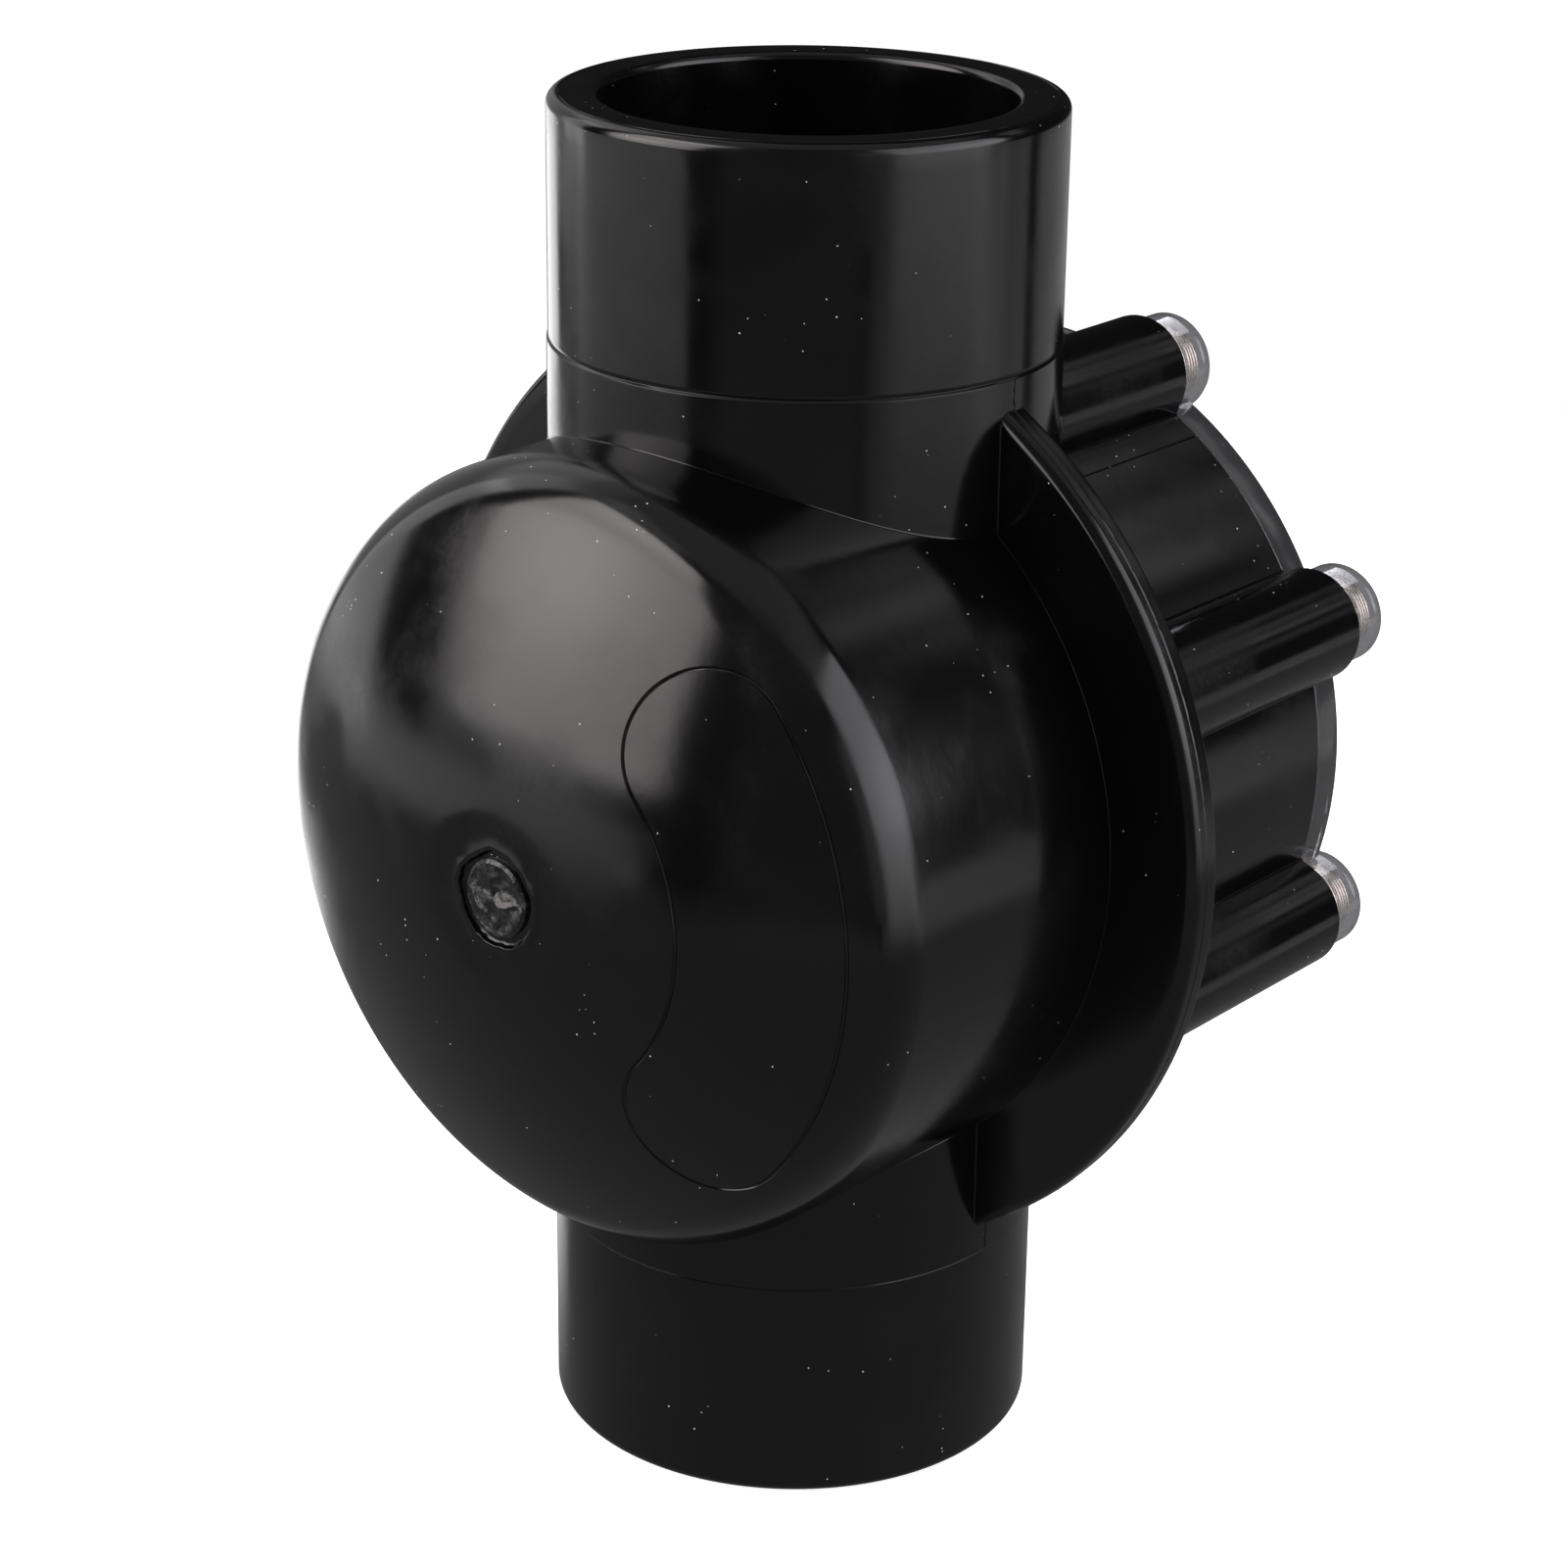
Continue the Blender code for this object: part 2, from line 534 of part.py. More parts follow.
def cover_fasteners(drum, look):
    """A washer and a screw in each lug."""
    floor = DRUM_FRONT + LUG_FLOOR + SEAT_GAP
    inner = SCREW_RADIUS + SEAT_GAP
    high = WASHER_THICKNESS
    washer_profile = [(inner, 0), (WASHER_RADIUS, 0), (WASHER_RADIUS, high), (inner, high)]
    washer = turned("cover_washer", washer_profile, SCREW_SIDES, closed=True)
    head_level = floor + WASHER_THICKNESS + SEAT_GAP
    length = SCREW_GRIP + SCREW_TIP + head_level - DRUM_FRONT
    screw = pan_head_screw("cover_screw", SCREW_RADIUS, length, SCREW_TIP, HEAD_RADIUS, HEAD_HEIGHT, SCREW_SIDES)
    for number, angle in enumerate(BOSS_ANGLES, 1):
        spot = on_circle(BOSS_CIRCLE, angle)
        place(f"cover_washer_{number}", washer, drum, look, (*spot, floor))
        place(f"cover_screw_{number}", screw, drum, look, (*spot, head_level))


def door(hinge, look):
    """The door: a dished disc with a hub, two ribs and two knuckles on the hinge axis."""
    rise = DOOR_TOP - DOOR_DISH
    profile = [
        (0, DOOR_BOTTOM),
        (DOOR_RADIUS, DOOR_BOTTOM),
        (DOOR_RADIUS, DOOR_TOP),
        (DOOR_RADIUS - DOOR_RIM, DOOR_TOP),
        (DOOR_RADIUS - DOOR_RIM - DOOR_DISH, rise),
        (HUB_RADIUS + DOOR_DISH, rise),
        (HUB_RADIUS, DOOR_TOP + HUB_RISE),
        (0, DOOR_TOP + HUB_RISE),
    ]
    result = place("flapper", turned("flapper", profile, DOOR_SIDES, centre=(HINGE_REACH, 0)), hinge, look)
    middle = KNUCKLE_START + KNUCKLE_LENGTH / 2
    ribs = []
    arms = []
    for side in (-1, 1):
        ends = sorted((side * KNUCKLE_START, side * KNUCKLE_END))
        arms.append(rectangle(0, HINGE_REACH - SEAT_RADIUS + DOOR_RIM, *ends))
        rib = sorted((side * middle - DOOR_RIB / 2, side * middle + DOOR_RIB / 2))
        ribs.append(rectangle(0, HINGE_REACH + DOOR_RADIUS * 0.75, *rib))
    rib_mesh = prisms("door_ribs", ribs, rise - DOOR_DISH, DOOR_TOP + DOOR_RIB_RISE)
    boolean(result, "UNION", helper("door_ribs", rib_mesh, hinge))
    arm_mesh = prisms("door_arms", arms, DOOR_BOTTOM, DOOR_TOP + DOOR_RIB_RISE / 2)
    boolean(result, "UNION", helper("door_arms", arm_mesh, hinge))
    circle = [ellipse(KNUCKLE_RADIUS, KNUCKLE_RADIUS, PIN_SIDES)]
    lying = Matrix.Rotation(-math.pi / 2, 4, "X")
    for side, name in ((-1, "front_knuckle"), (1, "back_knuckle")):
        ends = sorted((side * KNUCKLE_START, side * KNUCKLE_END))
        knuckle = prisms(name, circle, *ends)
        knuckle.transform(lying)
        boolean(result, "UNION", helper(name, knuckle, hinge))
    bore = prisms("door_bore", [ellipse(PIN_HOLE_RADIUS, PIN_HOLE_RADIUS, PIN_SIDES)], -2 * KNUCKLE_END, 2 * KNUCKLE_END)
    bore.transform(lying)
    boolean(result, "DIFFERENCE", helper("door_bore", bore, hinge))
    hole_radius = RETAINER_SCREW_RADIUS + SEAT_GAP
    hole = ellipse(hole_radius, hole_radius, SCREW_SIDES, (HINGE_REACH, 0))
    hole_mesh = prisms("door_hole", [hole], DOOR_BOTTOM - SEAT_GAP, DOOR_TOP + HUB_RISE / 2)
    boolean(result, "DIFFERENCE", helper("door_hole", hole_mesh, hinge))


def door_trim(hinge, rubber, steel):
    """The soft disc, the plate that clamps it and the screw that holds both."""
    inner = RETAINER_SCREW_RADIUS + SEAT_GAP
    centre = (HINGE_REACH, 0)
    top = SEAL_BOTTOM + SEAL_THICKNESS
    seal = [(inner, SEAL_BOTTOM), (SEAL_RADIUS, SEAL_BOTTOM), (SEAL_RADIUS, top), (inner, top)]
    place("flapper_seal", turned("flapper_seal", seal, DOOR_SIDES, True, centre), hinge, rubber)
    edge = RETAINER_THICKNESS / 3
    plate = [
        (inner, RETAINER_BOTTOM),
        (RETAINER_RADIUS - edge, RETAINER_BOTTOM),
        (RETAINER_RADIUS, RETAINER_BOTTOM + edge),
        (RETAINER_RADIUS, RETAINER_TOP),
        (inner, RETAINER_TOP),
    ]
    place("seal_retainer", turned("seal_retainer", plate, DOOR_SIDES, True, centre), hinge, steel)
    length = DOOR_TOP + HUB_RISE / 2 - RETAINER_BOTTOM
    head = RETAINER_HEAD_RADIUS
    screw = pan_head_screw("retainer_screw", RETAINER_SCREW_RADIUS, length, 0.001, head, RETAINER_HEAD_HEIGHT, SCREW_SIDES)
    place("retainer_screw", screw, hinge, steel, (*centre, RETAINER_BOTTOM - SEAT_GAP), (math.pi, 0, 0))


def hinge_pin(drum, look):
    half = PIN_BOSS_START + PIN_BEARING - SEAT_GAP
    edge = PIN_RADIUS / 5
    profile = [
        (0, -half),
        (PIN_RADIUS - edge, -half),
        (PIN_RADIUS, edge - half),
        (PIN_RADIUS, half - edge),
        (PIN_RADIUS - edge, half),
        (0, half),
    ]
    place("hinge_pin", turned("hinge_pin", profile, PIN_SIDES), drum, look, (*HINGE, 0))


def hinge_spring(hinge, look):
    """A torsion spring between the knuckles: one leg lies on the door, the other on the drum's wall."""
    half = KNUCKLE_START - SEAT_GAP - 2 * SPRING_WIRE
    leg_level = DOOR_TOP + SEAT_GAP + SPRING_WIRE
    hinge_radius = HINGE.length
    wall_leg = CHAMBER_RADIUS - SEAT_GAP - SPRING_WIRE - hinge_radius
    points = [(SPRING_LEG, half, leg_level), (0.45 * SPRING_LEG, half, leg_level)]
    steps = 11 * SPRING_TURNS
    for i in range(steps + 1):
        angle = 2 * math.pi * SPRING_TURNS * i / steps
        along = half - 2 * half * i / steps
        points.append((-SPRING_RADIUS * math.sin(angle), along, SPRING_RADIUS * math.cos(angle)))
    points.append((-wall_leg, -half, SPRING_RADIUS))
    curve = bpy.data.curves.new("hinge_spring", "CURVE")
    curve.dimensions = "3D"
    curve.bevel_depth = SPRING_WIRE
    curve.bevel_resolution = 1
    curve.use_fill_caps = True
    spline = curve.splines.new("POLY")
    spline.points.add(len(points) - 1)
    for point, spot in zip(spline.points, points):
        point.co = (*spot, 1)
    curve.materials.append(look)
    result = bpy.data.objects.new("hinge_spring", curve)
    bpy.context.scene.collection.objects.link(result)
    result.parent = hinge


def main():
    clear_scene()
    black = material("black_plastic", (0.012, 0.012, 0.013), 0.28)
    clear = material("clear_plastic", (0.86, 0.89, 0.91), 0.06, alpha=0.3)
    steel = material("stainless_steel", (0.55, 0.53, 0.5), 0.32, 1.0)
    rubber = material("black_rubber", (0.02, 0.02, 0.02), 0.7)
    grey = material("grey_plastic", (0.2, 0.21, 0.22), 0.45)
    frame = empty("valve_frame", location=(0, (LUG_END - DOME_DEPTH) / 2, 0))
    drum = empty("drum_frame", frame, (0, 0, DRUM_LEVEL), FACING_FRONT)
    hinge = empty("hinge_frame", frame, (HINGE.x, 0, DRUM_LEVEL + HINGE.y), (0, -SEAT_ANGLE, 0))
    body(frame, drum, black)
    cover(drum, clear)
    cover_ring(drum, rubber)
    cover_fasteners(drum, steel)
    door(hinge, grey)
    door_trim(hinge, rubber, steel)
    hinge_pin(drum, steel)
    hinge_spring(hinge, steel)


main()
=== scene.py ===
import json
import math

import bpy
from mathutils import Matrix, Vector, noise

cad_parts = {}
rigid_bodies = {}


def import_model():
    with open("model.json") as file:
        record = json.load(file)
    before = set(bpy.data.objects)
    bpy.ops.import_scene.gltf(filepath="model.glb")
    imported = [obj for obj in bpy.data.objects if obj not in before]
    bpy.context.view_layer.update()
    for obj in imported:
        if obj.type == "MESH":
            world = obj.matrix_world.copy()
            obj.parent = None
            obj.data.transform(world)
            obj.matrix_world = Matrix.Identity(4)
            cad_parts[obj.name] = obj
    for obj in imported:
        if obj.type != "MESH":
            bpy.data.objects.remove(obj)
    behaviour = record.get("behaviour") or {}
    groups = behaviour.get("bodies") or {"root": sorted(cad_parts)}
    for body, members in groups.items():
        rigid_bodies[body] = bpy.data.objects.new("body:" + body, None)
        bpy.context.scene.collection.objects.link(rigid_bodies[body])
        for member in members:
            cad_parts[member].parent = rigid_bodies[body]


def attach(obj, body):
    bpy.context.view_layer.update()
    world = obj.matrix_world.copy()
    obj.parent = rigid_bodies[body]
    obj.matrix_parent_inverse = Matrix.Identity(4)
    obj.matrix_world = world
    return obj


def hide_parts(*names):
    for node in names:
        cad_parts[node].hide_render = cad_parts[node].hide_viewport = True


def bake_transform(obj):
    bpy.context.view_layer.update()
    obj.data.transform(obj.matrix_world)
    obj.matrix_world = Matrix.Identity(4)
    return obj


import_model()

# %% [markdown]
# # A non-return valve for plastic pipe
# The valve is a round drum between two pipe sockets. Its back is a black dome and its front is a clear
# cover, held by eight screws. Behind the cover hangs a door that closes on a slanted seat.
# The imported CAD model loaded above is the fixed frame: every piece at its real size, with flat facets.
# This file makes the fine surfaces that stand for those pieces, the materials, the studio and the camera.
# All lengths are in metres.

for item in list(bpy.data.objects):
    if item.type in {"CAMERA", "LIGHT"} or item.name == "Cube":
        bpy.data.objects.remove(item)
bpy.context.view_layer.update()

# %% [markdown]
# ## The sizes
# The ports take 2 inch couplings outside and 1 1/2 inch pipe inside, and everything else was measured
# against them. These are the sizes of the CAD model, so each fine surface lies on its solid.

# %% Sizes of the ports, the drum and the flange
GAP = 0.0003
HEIGHT = 0.167
LEVEL = HEIGHT / 2
AXIS_Y = -0.0028
PORT_RADIUS = 0.03015
SOCKET_RADIUS = 0.02415
SOCKET_DEPTH = 0.0283
OUTLET_RADIUS = 0.0205
DRUM_RADIUS = 0.048
DRUM_FRONT = 0.0415
WALL = 0.0045
CHAMBER_RADIUS = DRUM_RADIUS - WALL
DOME_DEPTH = 0.054
CROWN_RADIUS = 0.09
SHOULDER_RADIUS = 0.009
FLANK_DRAFT = 0.0006
FLANGE_RADIUS = 0.0598
FLANGE_BACK = 0.002
FLANGE_FRONT = 0.0024

# %% [markdown]
# ## Frames to draw in
# A piece is easiest to draw in a frame of its own. The drum's frame looks out of the cover: X across, Y up
# and Z towards the cover. The port's frame stands on the floor. The hinge's frame lies on the slanted seat,
# with X along the slope and Y along the hinge pin.

# %% Frames
SEAT_ANGLE = math.radians(45)
SEAT_DROP = 0.0057
HINGE_REACH = 0.032
HINGE_RISE = 0.003
PORT = Matrix.Translation((0, AXIS_Y, 0))
DRUM = Matrix.Translation((0, AXIS_Y, LEVEL)) @ Matrix.Rotation(math.pi / 2, 4, "X")
slope = Vector((math.cos(SEAT_ANGLE), math.sin(SEAT_ANGLE)))
off_seat = Vector((-slope.y, slope.x))
hinge = Vector((0, -SEAT_DROP)) - slope * HINGE_REACH + off_seat * HINGE_RISE
HINGE = Matrix.Translation((hinge.x, AXIS_Y, LEVEL + hinge.y)) @ Matrix.Rotation(-SEAT_ANGLE, 4, "Y")
print("hinge axis at, in millimetres:", [round(1000 * c, 2) for c in HINGE.translation])

# %% [markdown]
# ## Drawing with a vertex
# Most of a moulded fitting is turned or extruded. As by hand, a line starts from a small circle merged to
# one vertex, which is then extruded from point to point. Nothing else may be selected, so that comes first.

# %% Selecting and drawing


def select_only(piece):
    bpy.ops.object.select_all(action="DESELECT")
    piece.select_set(True)
    bpy.context.view_layer.objects.active = piece


def draw(name, points, where, closed=False):
    """A line through the points, left in edit mode and selected. A closed one is filled with a face."""
    spots = [where @ Vector(point) for point in points]
    bpy.ops.object.select_all(action="DESELECT")
    bpy.ops.mesh.primitive_circle_add(vertices=3, radius=0.001)
    piece = bpy.context.object
    piece.name = name
    piece.data.name = name
    bpy.ops.object.mode_set(mode="EDIT")
    bpy.ops.mesh.select_mode(type="VERT")
    bpy.ops.mesh.select_all(action="SELECT")
    bpy.ops.mesh.merge(type="CENTER")
    bpy.ops.transform.translate(value=spots[0])
    for here, there in zip(spots, spots[1:]):
        bpy.ops.mesh.extrude_region_move(TRANSFORM_OT_translate={"value": there - here})
    bpy.ops.mesh.select_all(action="SELECT")
    if closed:
        bpy.ops.mesh.edge_face_add()
    return piece


# %% [markdown]
# A finished mesh has no doubled points, its faces look outwards, and edges sharper than a limit stay crisp.

# %% Finishing a mesh


def smooth(piece, angle=32):
    select_only(piece)
    bpy.ops.object.shade_smooth_by_angle(angle=math.radians(angle))
    return piece


def finish_mesh(piece, angle=32):
    bpy.ops.mesh.select_all(action="SELECT")
    bpy.ops.mesh.remove_doubles(threshold=1e-6)
    bpy.ops.mesh.normals_make_consistent(inside=False)
    bpy.ops.object.mode_set(mode="OBJECT")
    return smooth(piece, angle)


def report(piece):
    """Prints the triangles, and the edges that don't have two faces, which a closed mesh hasn't."""
    uses = {}
    for polygon in piece.data.polygons:
        for key in polygon.edge_keys:
            uses[key] = uses.get(key, 0) + 1
    open_edges = sum(1 for count in uses.values() if count != 2)
    triangles = sum(len(polygon.vertices) - 2 for polygon in piece.data.polygons)
    print(f"{piece.name}: {triangles} triangles, {open_edges} open edges")


# %% [markdown]
# ## Turning, extruding and bending wire
# Spin makes what a lathe or a round mould makes. Extruding makes posts, ribs and cutters. A line turned into
# a curve with a bevel gives round wire, which also serves as a cutter for fine grooves.

# %% Turned, extruded and wire shapes


def turned(name, profile, steps, where, centre=(0, 0, 0)):
    """A profile of (radius, height) points spun round the frame's Z axis through centre."""
    middle = Vector(centre)
    piece = draw(name, [middle + Vector((radius, 0, height)) for radius, height in profile], where)
    axis = where.to_3x3() @ Vector((0, 0, 1))
    bpy.ops.mesh.spin(steps=steps, angle=2 * math.pi, center=where @ middle, axis=axis)
    return finish_mesh(piece)


def extruded(name, outline, low, high, where, rows=1):
    """A flat outline of (x, y) points extruded from low to high in rows."""
    piece = draw(name, [(x, y, low) for x, y in outline], where, closed=True)
    rise = where.to_3x3() @ Vector((0, 0, (high - low) / rows))
    for _ in range(rows):
        bpy.ops.mesh.extrude_region_move(TRANSFORM_OT_translate={"value": rise})
    return finish_mesh(piece)


def wire(name, points, radius, where, ring=False, sides=2, swell=None):
    """Round wire along the points. swell gives each point a thickness of its own."""
    piece = draw(name, points, where)
    bpy.ops.object.mode_set(mode="OBJECT")
    select_only(piece)
    bpy.ops.object.convert(target="CURVE")
    curve = bpy.context.object
    curve.data.splines[0].use_cyclic_u = ring
    curve.data.bevel_depth = radius
    curve.data.bevel_resolution = sides
    curve.data.use_fill_caps = True
    if swell:
        for point, factor in zip(curve.data.splines[0].points, swell):
            point.radius = factor
    bpy.ops.object.convert(target="MESH")
    bpy.ops.object.mode_set(mode="EDIT")
    return finish_mesh(bpy.context.object, 60)


# %% [markdown]
# ## Profiles with rounded corners
# A moulding has no sharp corners. A profile is written as corners with a radius each. One function makes
# every corner an arc, and another splits long runs, so that the spun net is even and mirrors cleanly.

# %% Rounded profiles and plain outlines


def arc(centre, radius, start, end, steps):
    """Points on an arc. Angles are in degrees from the -height direction towards +radius."""
    angles = [math.radians(start + (end - start) * i / steps) for i in range(steps + 1)]
    return [(centre[0] + radius * math.sin(a), centre[1] - radius * math.cos(a)) for a in angles]


def rounded(corners, steps=5):
    """(radius, height, corner radius) corners made into points. The first and the last stay sharp."""
    points = [tuple(corners[0][:2])]
    for before, corner, after in zip(corners, corners[1:], corners[2:]):
        here = Vector(corner[:2])
        if corner[2] == 0:
            points.append(tuple(here))
            continue
        back_way = (Vector(before[:2]) - here).normalized()
        on_way = (Vector(after[:2]) - here).normalized()
        half = back_way.angle(on_way) / 2
        reach = corner[2] / math.tan(half)
        middle = here + (back_way + on_way).normalized() * corner[2] / math.sin(half)
        first = here + back_way * reach - middle
        last = here + on_way * reach - middle
        for i in range(steps + 1):
            points.append(tuple(middle + first.lerp(last, i / steps).normalized() * corner[2]))
    return points + [tuple(corners[-1][:2])]


def even(points, pitch):
    """The same outline with no step longer than pitch."""
    result = [points[0]]
    for here, there in zip(points, points[1:]):
        count = max(1, math.ceil(math.dist(here, there) / pitch))
        result += [tuple(a + (b - a) * i / count for a, b in zip(here, there)) for i in range(1, count + 1)]
    return result


def oval(semi_x, semi_y, sides, centre=(0, 0)):
    turns = [2 * math.pi * i / sides for i in range(sides)]
    return [(centre[0] + semi_x * math.cos(t), centre[1] + semi_y * math.sin(t)) for t in turns]


def circle(radius, sides, centre=(0, 0)):
    return oval(radius, radius, sides, centre)


def box(low_x, high_x, low_y, high_y):
    return [(low_x, low_y), (high_x, low_y), (high_x, high_y), (low_x, high_y)]


# %% [markdown]
# ## Joining and cutting
# Boolean modifiers join shapes and cut hollows. Each is applied at once and its helper is removed.

# %% Joining, cutting and copying


def combine(piece, operation, *others):
    for other in others:
        modifier = piece.modifiers.new(operation.lower(), "BOOLEAN")
        modifier.operation = operation
        modifier.solver = "MANIFOLD"
        modifier.object = other
        select_only(piece)
        bpy.ops.object.modifier_apply(modifier=modifier.name)
        bpy.data.objects.remove(other)
    return piece


def copied(piece, name, move):
    """A copy with a mesh of its own, moved in its mesh."""
    twin = bpy.data.objects.new(name, piece.data.copy())
    bpy.context.scene.collection.objects.link(twin)
    twin.data.name = name
    twin.data.transform(move)
    return twin


# %% [markdown]
# ## The outside of the drum
# The drum, its dome and the flange round its middle are one turned shape. The dome is a shallow crown that
# runs into a tight shoulder, and that change of curve is what bends the reflections so clearly. At the
# middle of the crown is the gate, where the plastic was injected: a pit with a raised lip, in a flat patch.

# %% The dome's profile
DRUM_STEPS = 256
GATE_RADIUS = 0.0056
GATE_DEPTH = 0.0012
GATE_LIP = 0.00012
SINK_RADIUS = 0.0102
SINK_EDGE = 0.00004


def dome(inset, steps, from_radius=0.0):
    """The dome from the axis to the drum's side, moved inwards by inset."""
    crown_centre = CROWN_RADIUS - DOME_DEPTH
    reach = DRUM_RADIUS - FLANK_DRAFT - SHOULDER_RADIUS
    level = crown_centre - math.sqrt((CROWN_RADIUS - SHOULDER_RADIUS) ** 2 - reach**2)
    meeting = math.degrees(math.asin(reach / (CROWN_RADIUS - SHOULDER_RADIUS)))
    first = math.degrees(math.asin(from_radius / (CROWN_RADIUS - inset)))
    points = arc((0, crown_centre), CROWN_RADIUS - inset, first, meeting, steps)
    return points + arc((reach, level), SHOULDER_RADIUS - inset, meeting, 90, steps // 2)[1:]


def sink(radius):
    """How far the crown is flattened round the gate, with a soft edge."""
    depth = (SINK_RADIUS**2 - radius**2) / (2 * CROWN_RADIUS)
    return SINK_EDGE * math.log1p(math.exp(min(depth / SINK_EDGE, 50)))


outer_dome = [(r, h + sink(r)) for r, h in dome(0, 44, GATE_RADIUS + 0.0012)]
pit_floor = GATE_DEPTH - DOME_DEPTH
lip = outer_dome[0][1] - GATE_LIP
gate_outline = rounded(
    [
        (0, pit_floor, 0),
        (GATE_RADIUS - 0.0002, pit_floor, 0.0004),
        (GATE_RADIUS, lip, 0.0001),
        (GATE_RADIUS + 0.0005, lip, 0.0002),
        (*outer_dome[0], 0),
    ]
)

# %% [markdown]
# The flange is where the two halves of the mould met. Its rear edge is well rounded. In the middle of its
# rim stands a thin flash of plastic that was squeezed between the halves. In front the drum is drawn too
# long, and the chamber's cutter trims it to the face.

# %% The drum with its flange
FLANGE_ROUND = 0.0013
BACK_FILLET = 0.00006
FRONT_FILLET = 0.0015
PARTING = 0.0004
FLASH = 0.00012
STOCK_END = DRUM_FRONT + 0.004
rim = FLANGE_RADIUS - FLASH
flank_length = -FLANGE_BACK - outer_dome[-1][1]


def side_radius(height):
    """The radius of the drum's side, which leans in a little from the flange to the dome."""
    return DRUM_RADIUS - FLANK_DRAFT * max(0.0, -FLANGE_BACK - height) / flank_length


drum_outline = gate_outline[:-1] + outer_dome
drum_outline += rounded(
    [
        (side_radius(-2 * FLANGE_BACK), -2 * FLANGE_BACK, 0),
        (DRUM_RADIUS, -FLANGE_BACK, BACK_FILLET),
        (rim, -FLANGE_BACK, FLANGE_ROUND),
        (rim, PARTING - 0.0002, 0.0001),
        (rim + FLASH / 2, PARTING, 0.00005),
        (rim - 0.0001, PARTING + 0.0002, 0.0001),
        (rim - 0.0001, FLANGE_FRONT, 0.0003),
        (DRUM_RADIUS, FLANGE_FRONT, FRONT_FILLET),
        (DRUM_RADIUS, STOCK_END, 0),
    ],
    steps=7,
)
drum_outline.append((0, STOCK_END))
housing = turned("housing", even(drum_outline, 0.0013), DRUM_STEPS, DRUM)
report(housing)

# %% [markdown]
# Where the runner was broken off, the gate isn't a true circle. Noise moves the points round it in or out.

# %% An uneven gate
for vertex in housing.data.vertices:
    spot = DRUM.inverted() @ vertex.co
    radius = math.hypot(spot.x, spot.y)
    if spot.z < -0.045 and 0.0035 < radius < 0.0095:
        near_edge = math.exp(-(((radius - GATE_RADIUS) / 0.0016) ** 2))
        near_lip = math.exp(-(((radius - 0.0063) / 0.0006) ** 2))
        turn = Vector((spot.x, spot.y, 0)) / radius
        push = 0.0005 * noise.noise(turn * 1.3 + Vector((0, 0, 2.4))) + 0.00022 * noise.noise(turn * 5)
        lift = 0.00012 * noise.noise(turn * 2.2 + Vector((3, 0, 0)))
        vertex.co = DRUM @ (spot + turn * push * near_edge - Vector((0, 0, lift * near_lip)))

# %% [markdown]
# ## Ports and bosses
# The two ports are one bar through the drum. A fine step shows where the mould's core pin ended, as deep as
# the socket itself. Round the mouth runs another hair line, inside the rounded rim, and it wanders a little.

# %% The ports
PORT_STEPS = 192
PORT_STEP = 0.00016
NECK_RADIUS = PORT_RADIUS + PORT_STEP
STEP_LOOP = 0.0003
MOUTH_LINE = 0.0287


def half_port(bevel, nick, nick_round):
    """The outline from a mouth's middle to the drum's level. The fine step has a nick and a bevelled edge,
    and a loop on either side keeps its shading narrow."""
    corners = [
        (0, 0, 0),
        (MOUTH_LINE - 0.00008, 0, 0),
        (MOUTH_LINE, 0.00012, 0),
        (MOUTH_LINE + 0.00008, 0, 0),
        (PORT_RADIUS, 0, 0.00132),
        (PORT_RADIUS, SOCKET_DEPTH - nick / 0.6 - STEP_LOOP, 0),
        (PORT_RADIUS, SOCKET_DEPTH - nick / 0.6, 0),
        (PORT_RADIUS - nick, SOCKET_DEPTH, nick_round),
        (NECK_RADIUS, SOCKET_DEPTH + bevel, bevel / 3),
        (NECK_RADIUS, SOCKET_DEPTH + bevel + STEP_LOOP, 0),
        (NECK_RADIUS, LEVEL, 0),
    ]
    return even(rounded(corners, 8), 0.0021)


lower_half = half_port(0.00006, 0.00003, 0)
upper_half = half_port(0.00025, 0.00012, 0.00005)
port_outline = lower_half + [(radius, HEIGHT - height) for radius, height in reversed(upper_half)]
ports = turned("ports", port_outline, PORT_STEPS, PORT)
for vertex in ports.data.vertices:
    spot = PORT.inverted() @ vertex.co
    radius = math.hypot(spot.x, spot.y)
    if abs(radius - MOUTH_LINE) < 0.0001 and min(spot.z, HEIGHT - spot.z) < 0.0002:
        turn = Vector((spot.x, spot.y, 0)) / radius
        vertex.co += turn * 0.00015 * noise.noise(turn * 6)

# %% [markdown]
# Eight bosses carry the cover's screws. Each is a round post whose sides run straight in to the drum, and a
# thin bead lies in each crease, because no mould makes a perfectly sharp inner corner.

# %% Bosses and their beads
BOSS_CIRCLE = DRUM_RADIUS + 0.0014
BOSS_RADIUS = 0.007
BOSS_TURNS = [math.pi * (2 * i + 1) / 8 for i in range(8)]
crease = math.sqrt(DRUM_RADIUS**2 - BOSS_RADIUS**2)


def round_turn(angle):
    """The drum's frame, turned so that its Y axis points to one of the bosses."""
    return DRUM @ Matrix.Rotation(-angle, 4, "Z")


half_turn = [math.pi * (i / 24 - 0.5) for i in range(25)]
boss_outline = [(BOSS_RADIUS * math.sin(t), BOSS_CIRCLE + BOSS_RADIUS * math.cos(t)) for t in half_turn]
boss_outline += [(BOSS_RADIUS, CHAMBER_RADIUS - WALL), (-BOSS_RADIUS, CHAMBER_RADIUS - WALL)]
for turn in BOSS_TURNS:
    boss = extruded("boss", boss_outline, 0.0005, STOCK_END, round_turn(turn), rows=28)
    ports = combine(ports, "UNION", boss)
    for side in (-1, 1):
        line = [(side * BOSS_RADIUS, crease, h) for h in (FLANGE_FRONT, DRUM_FRONT + 0.003)]
        ports = combine(ports, "UNION", wire("bead", line, 0.00022, round_turn(turn)))

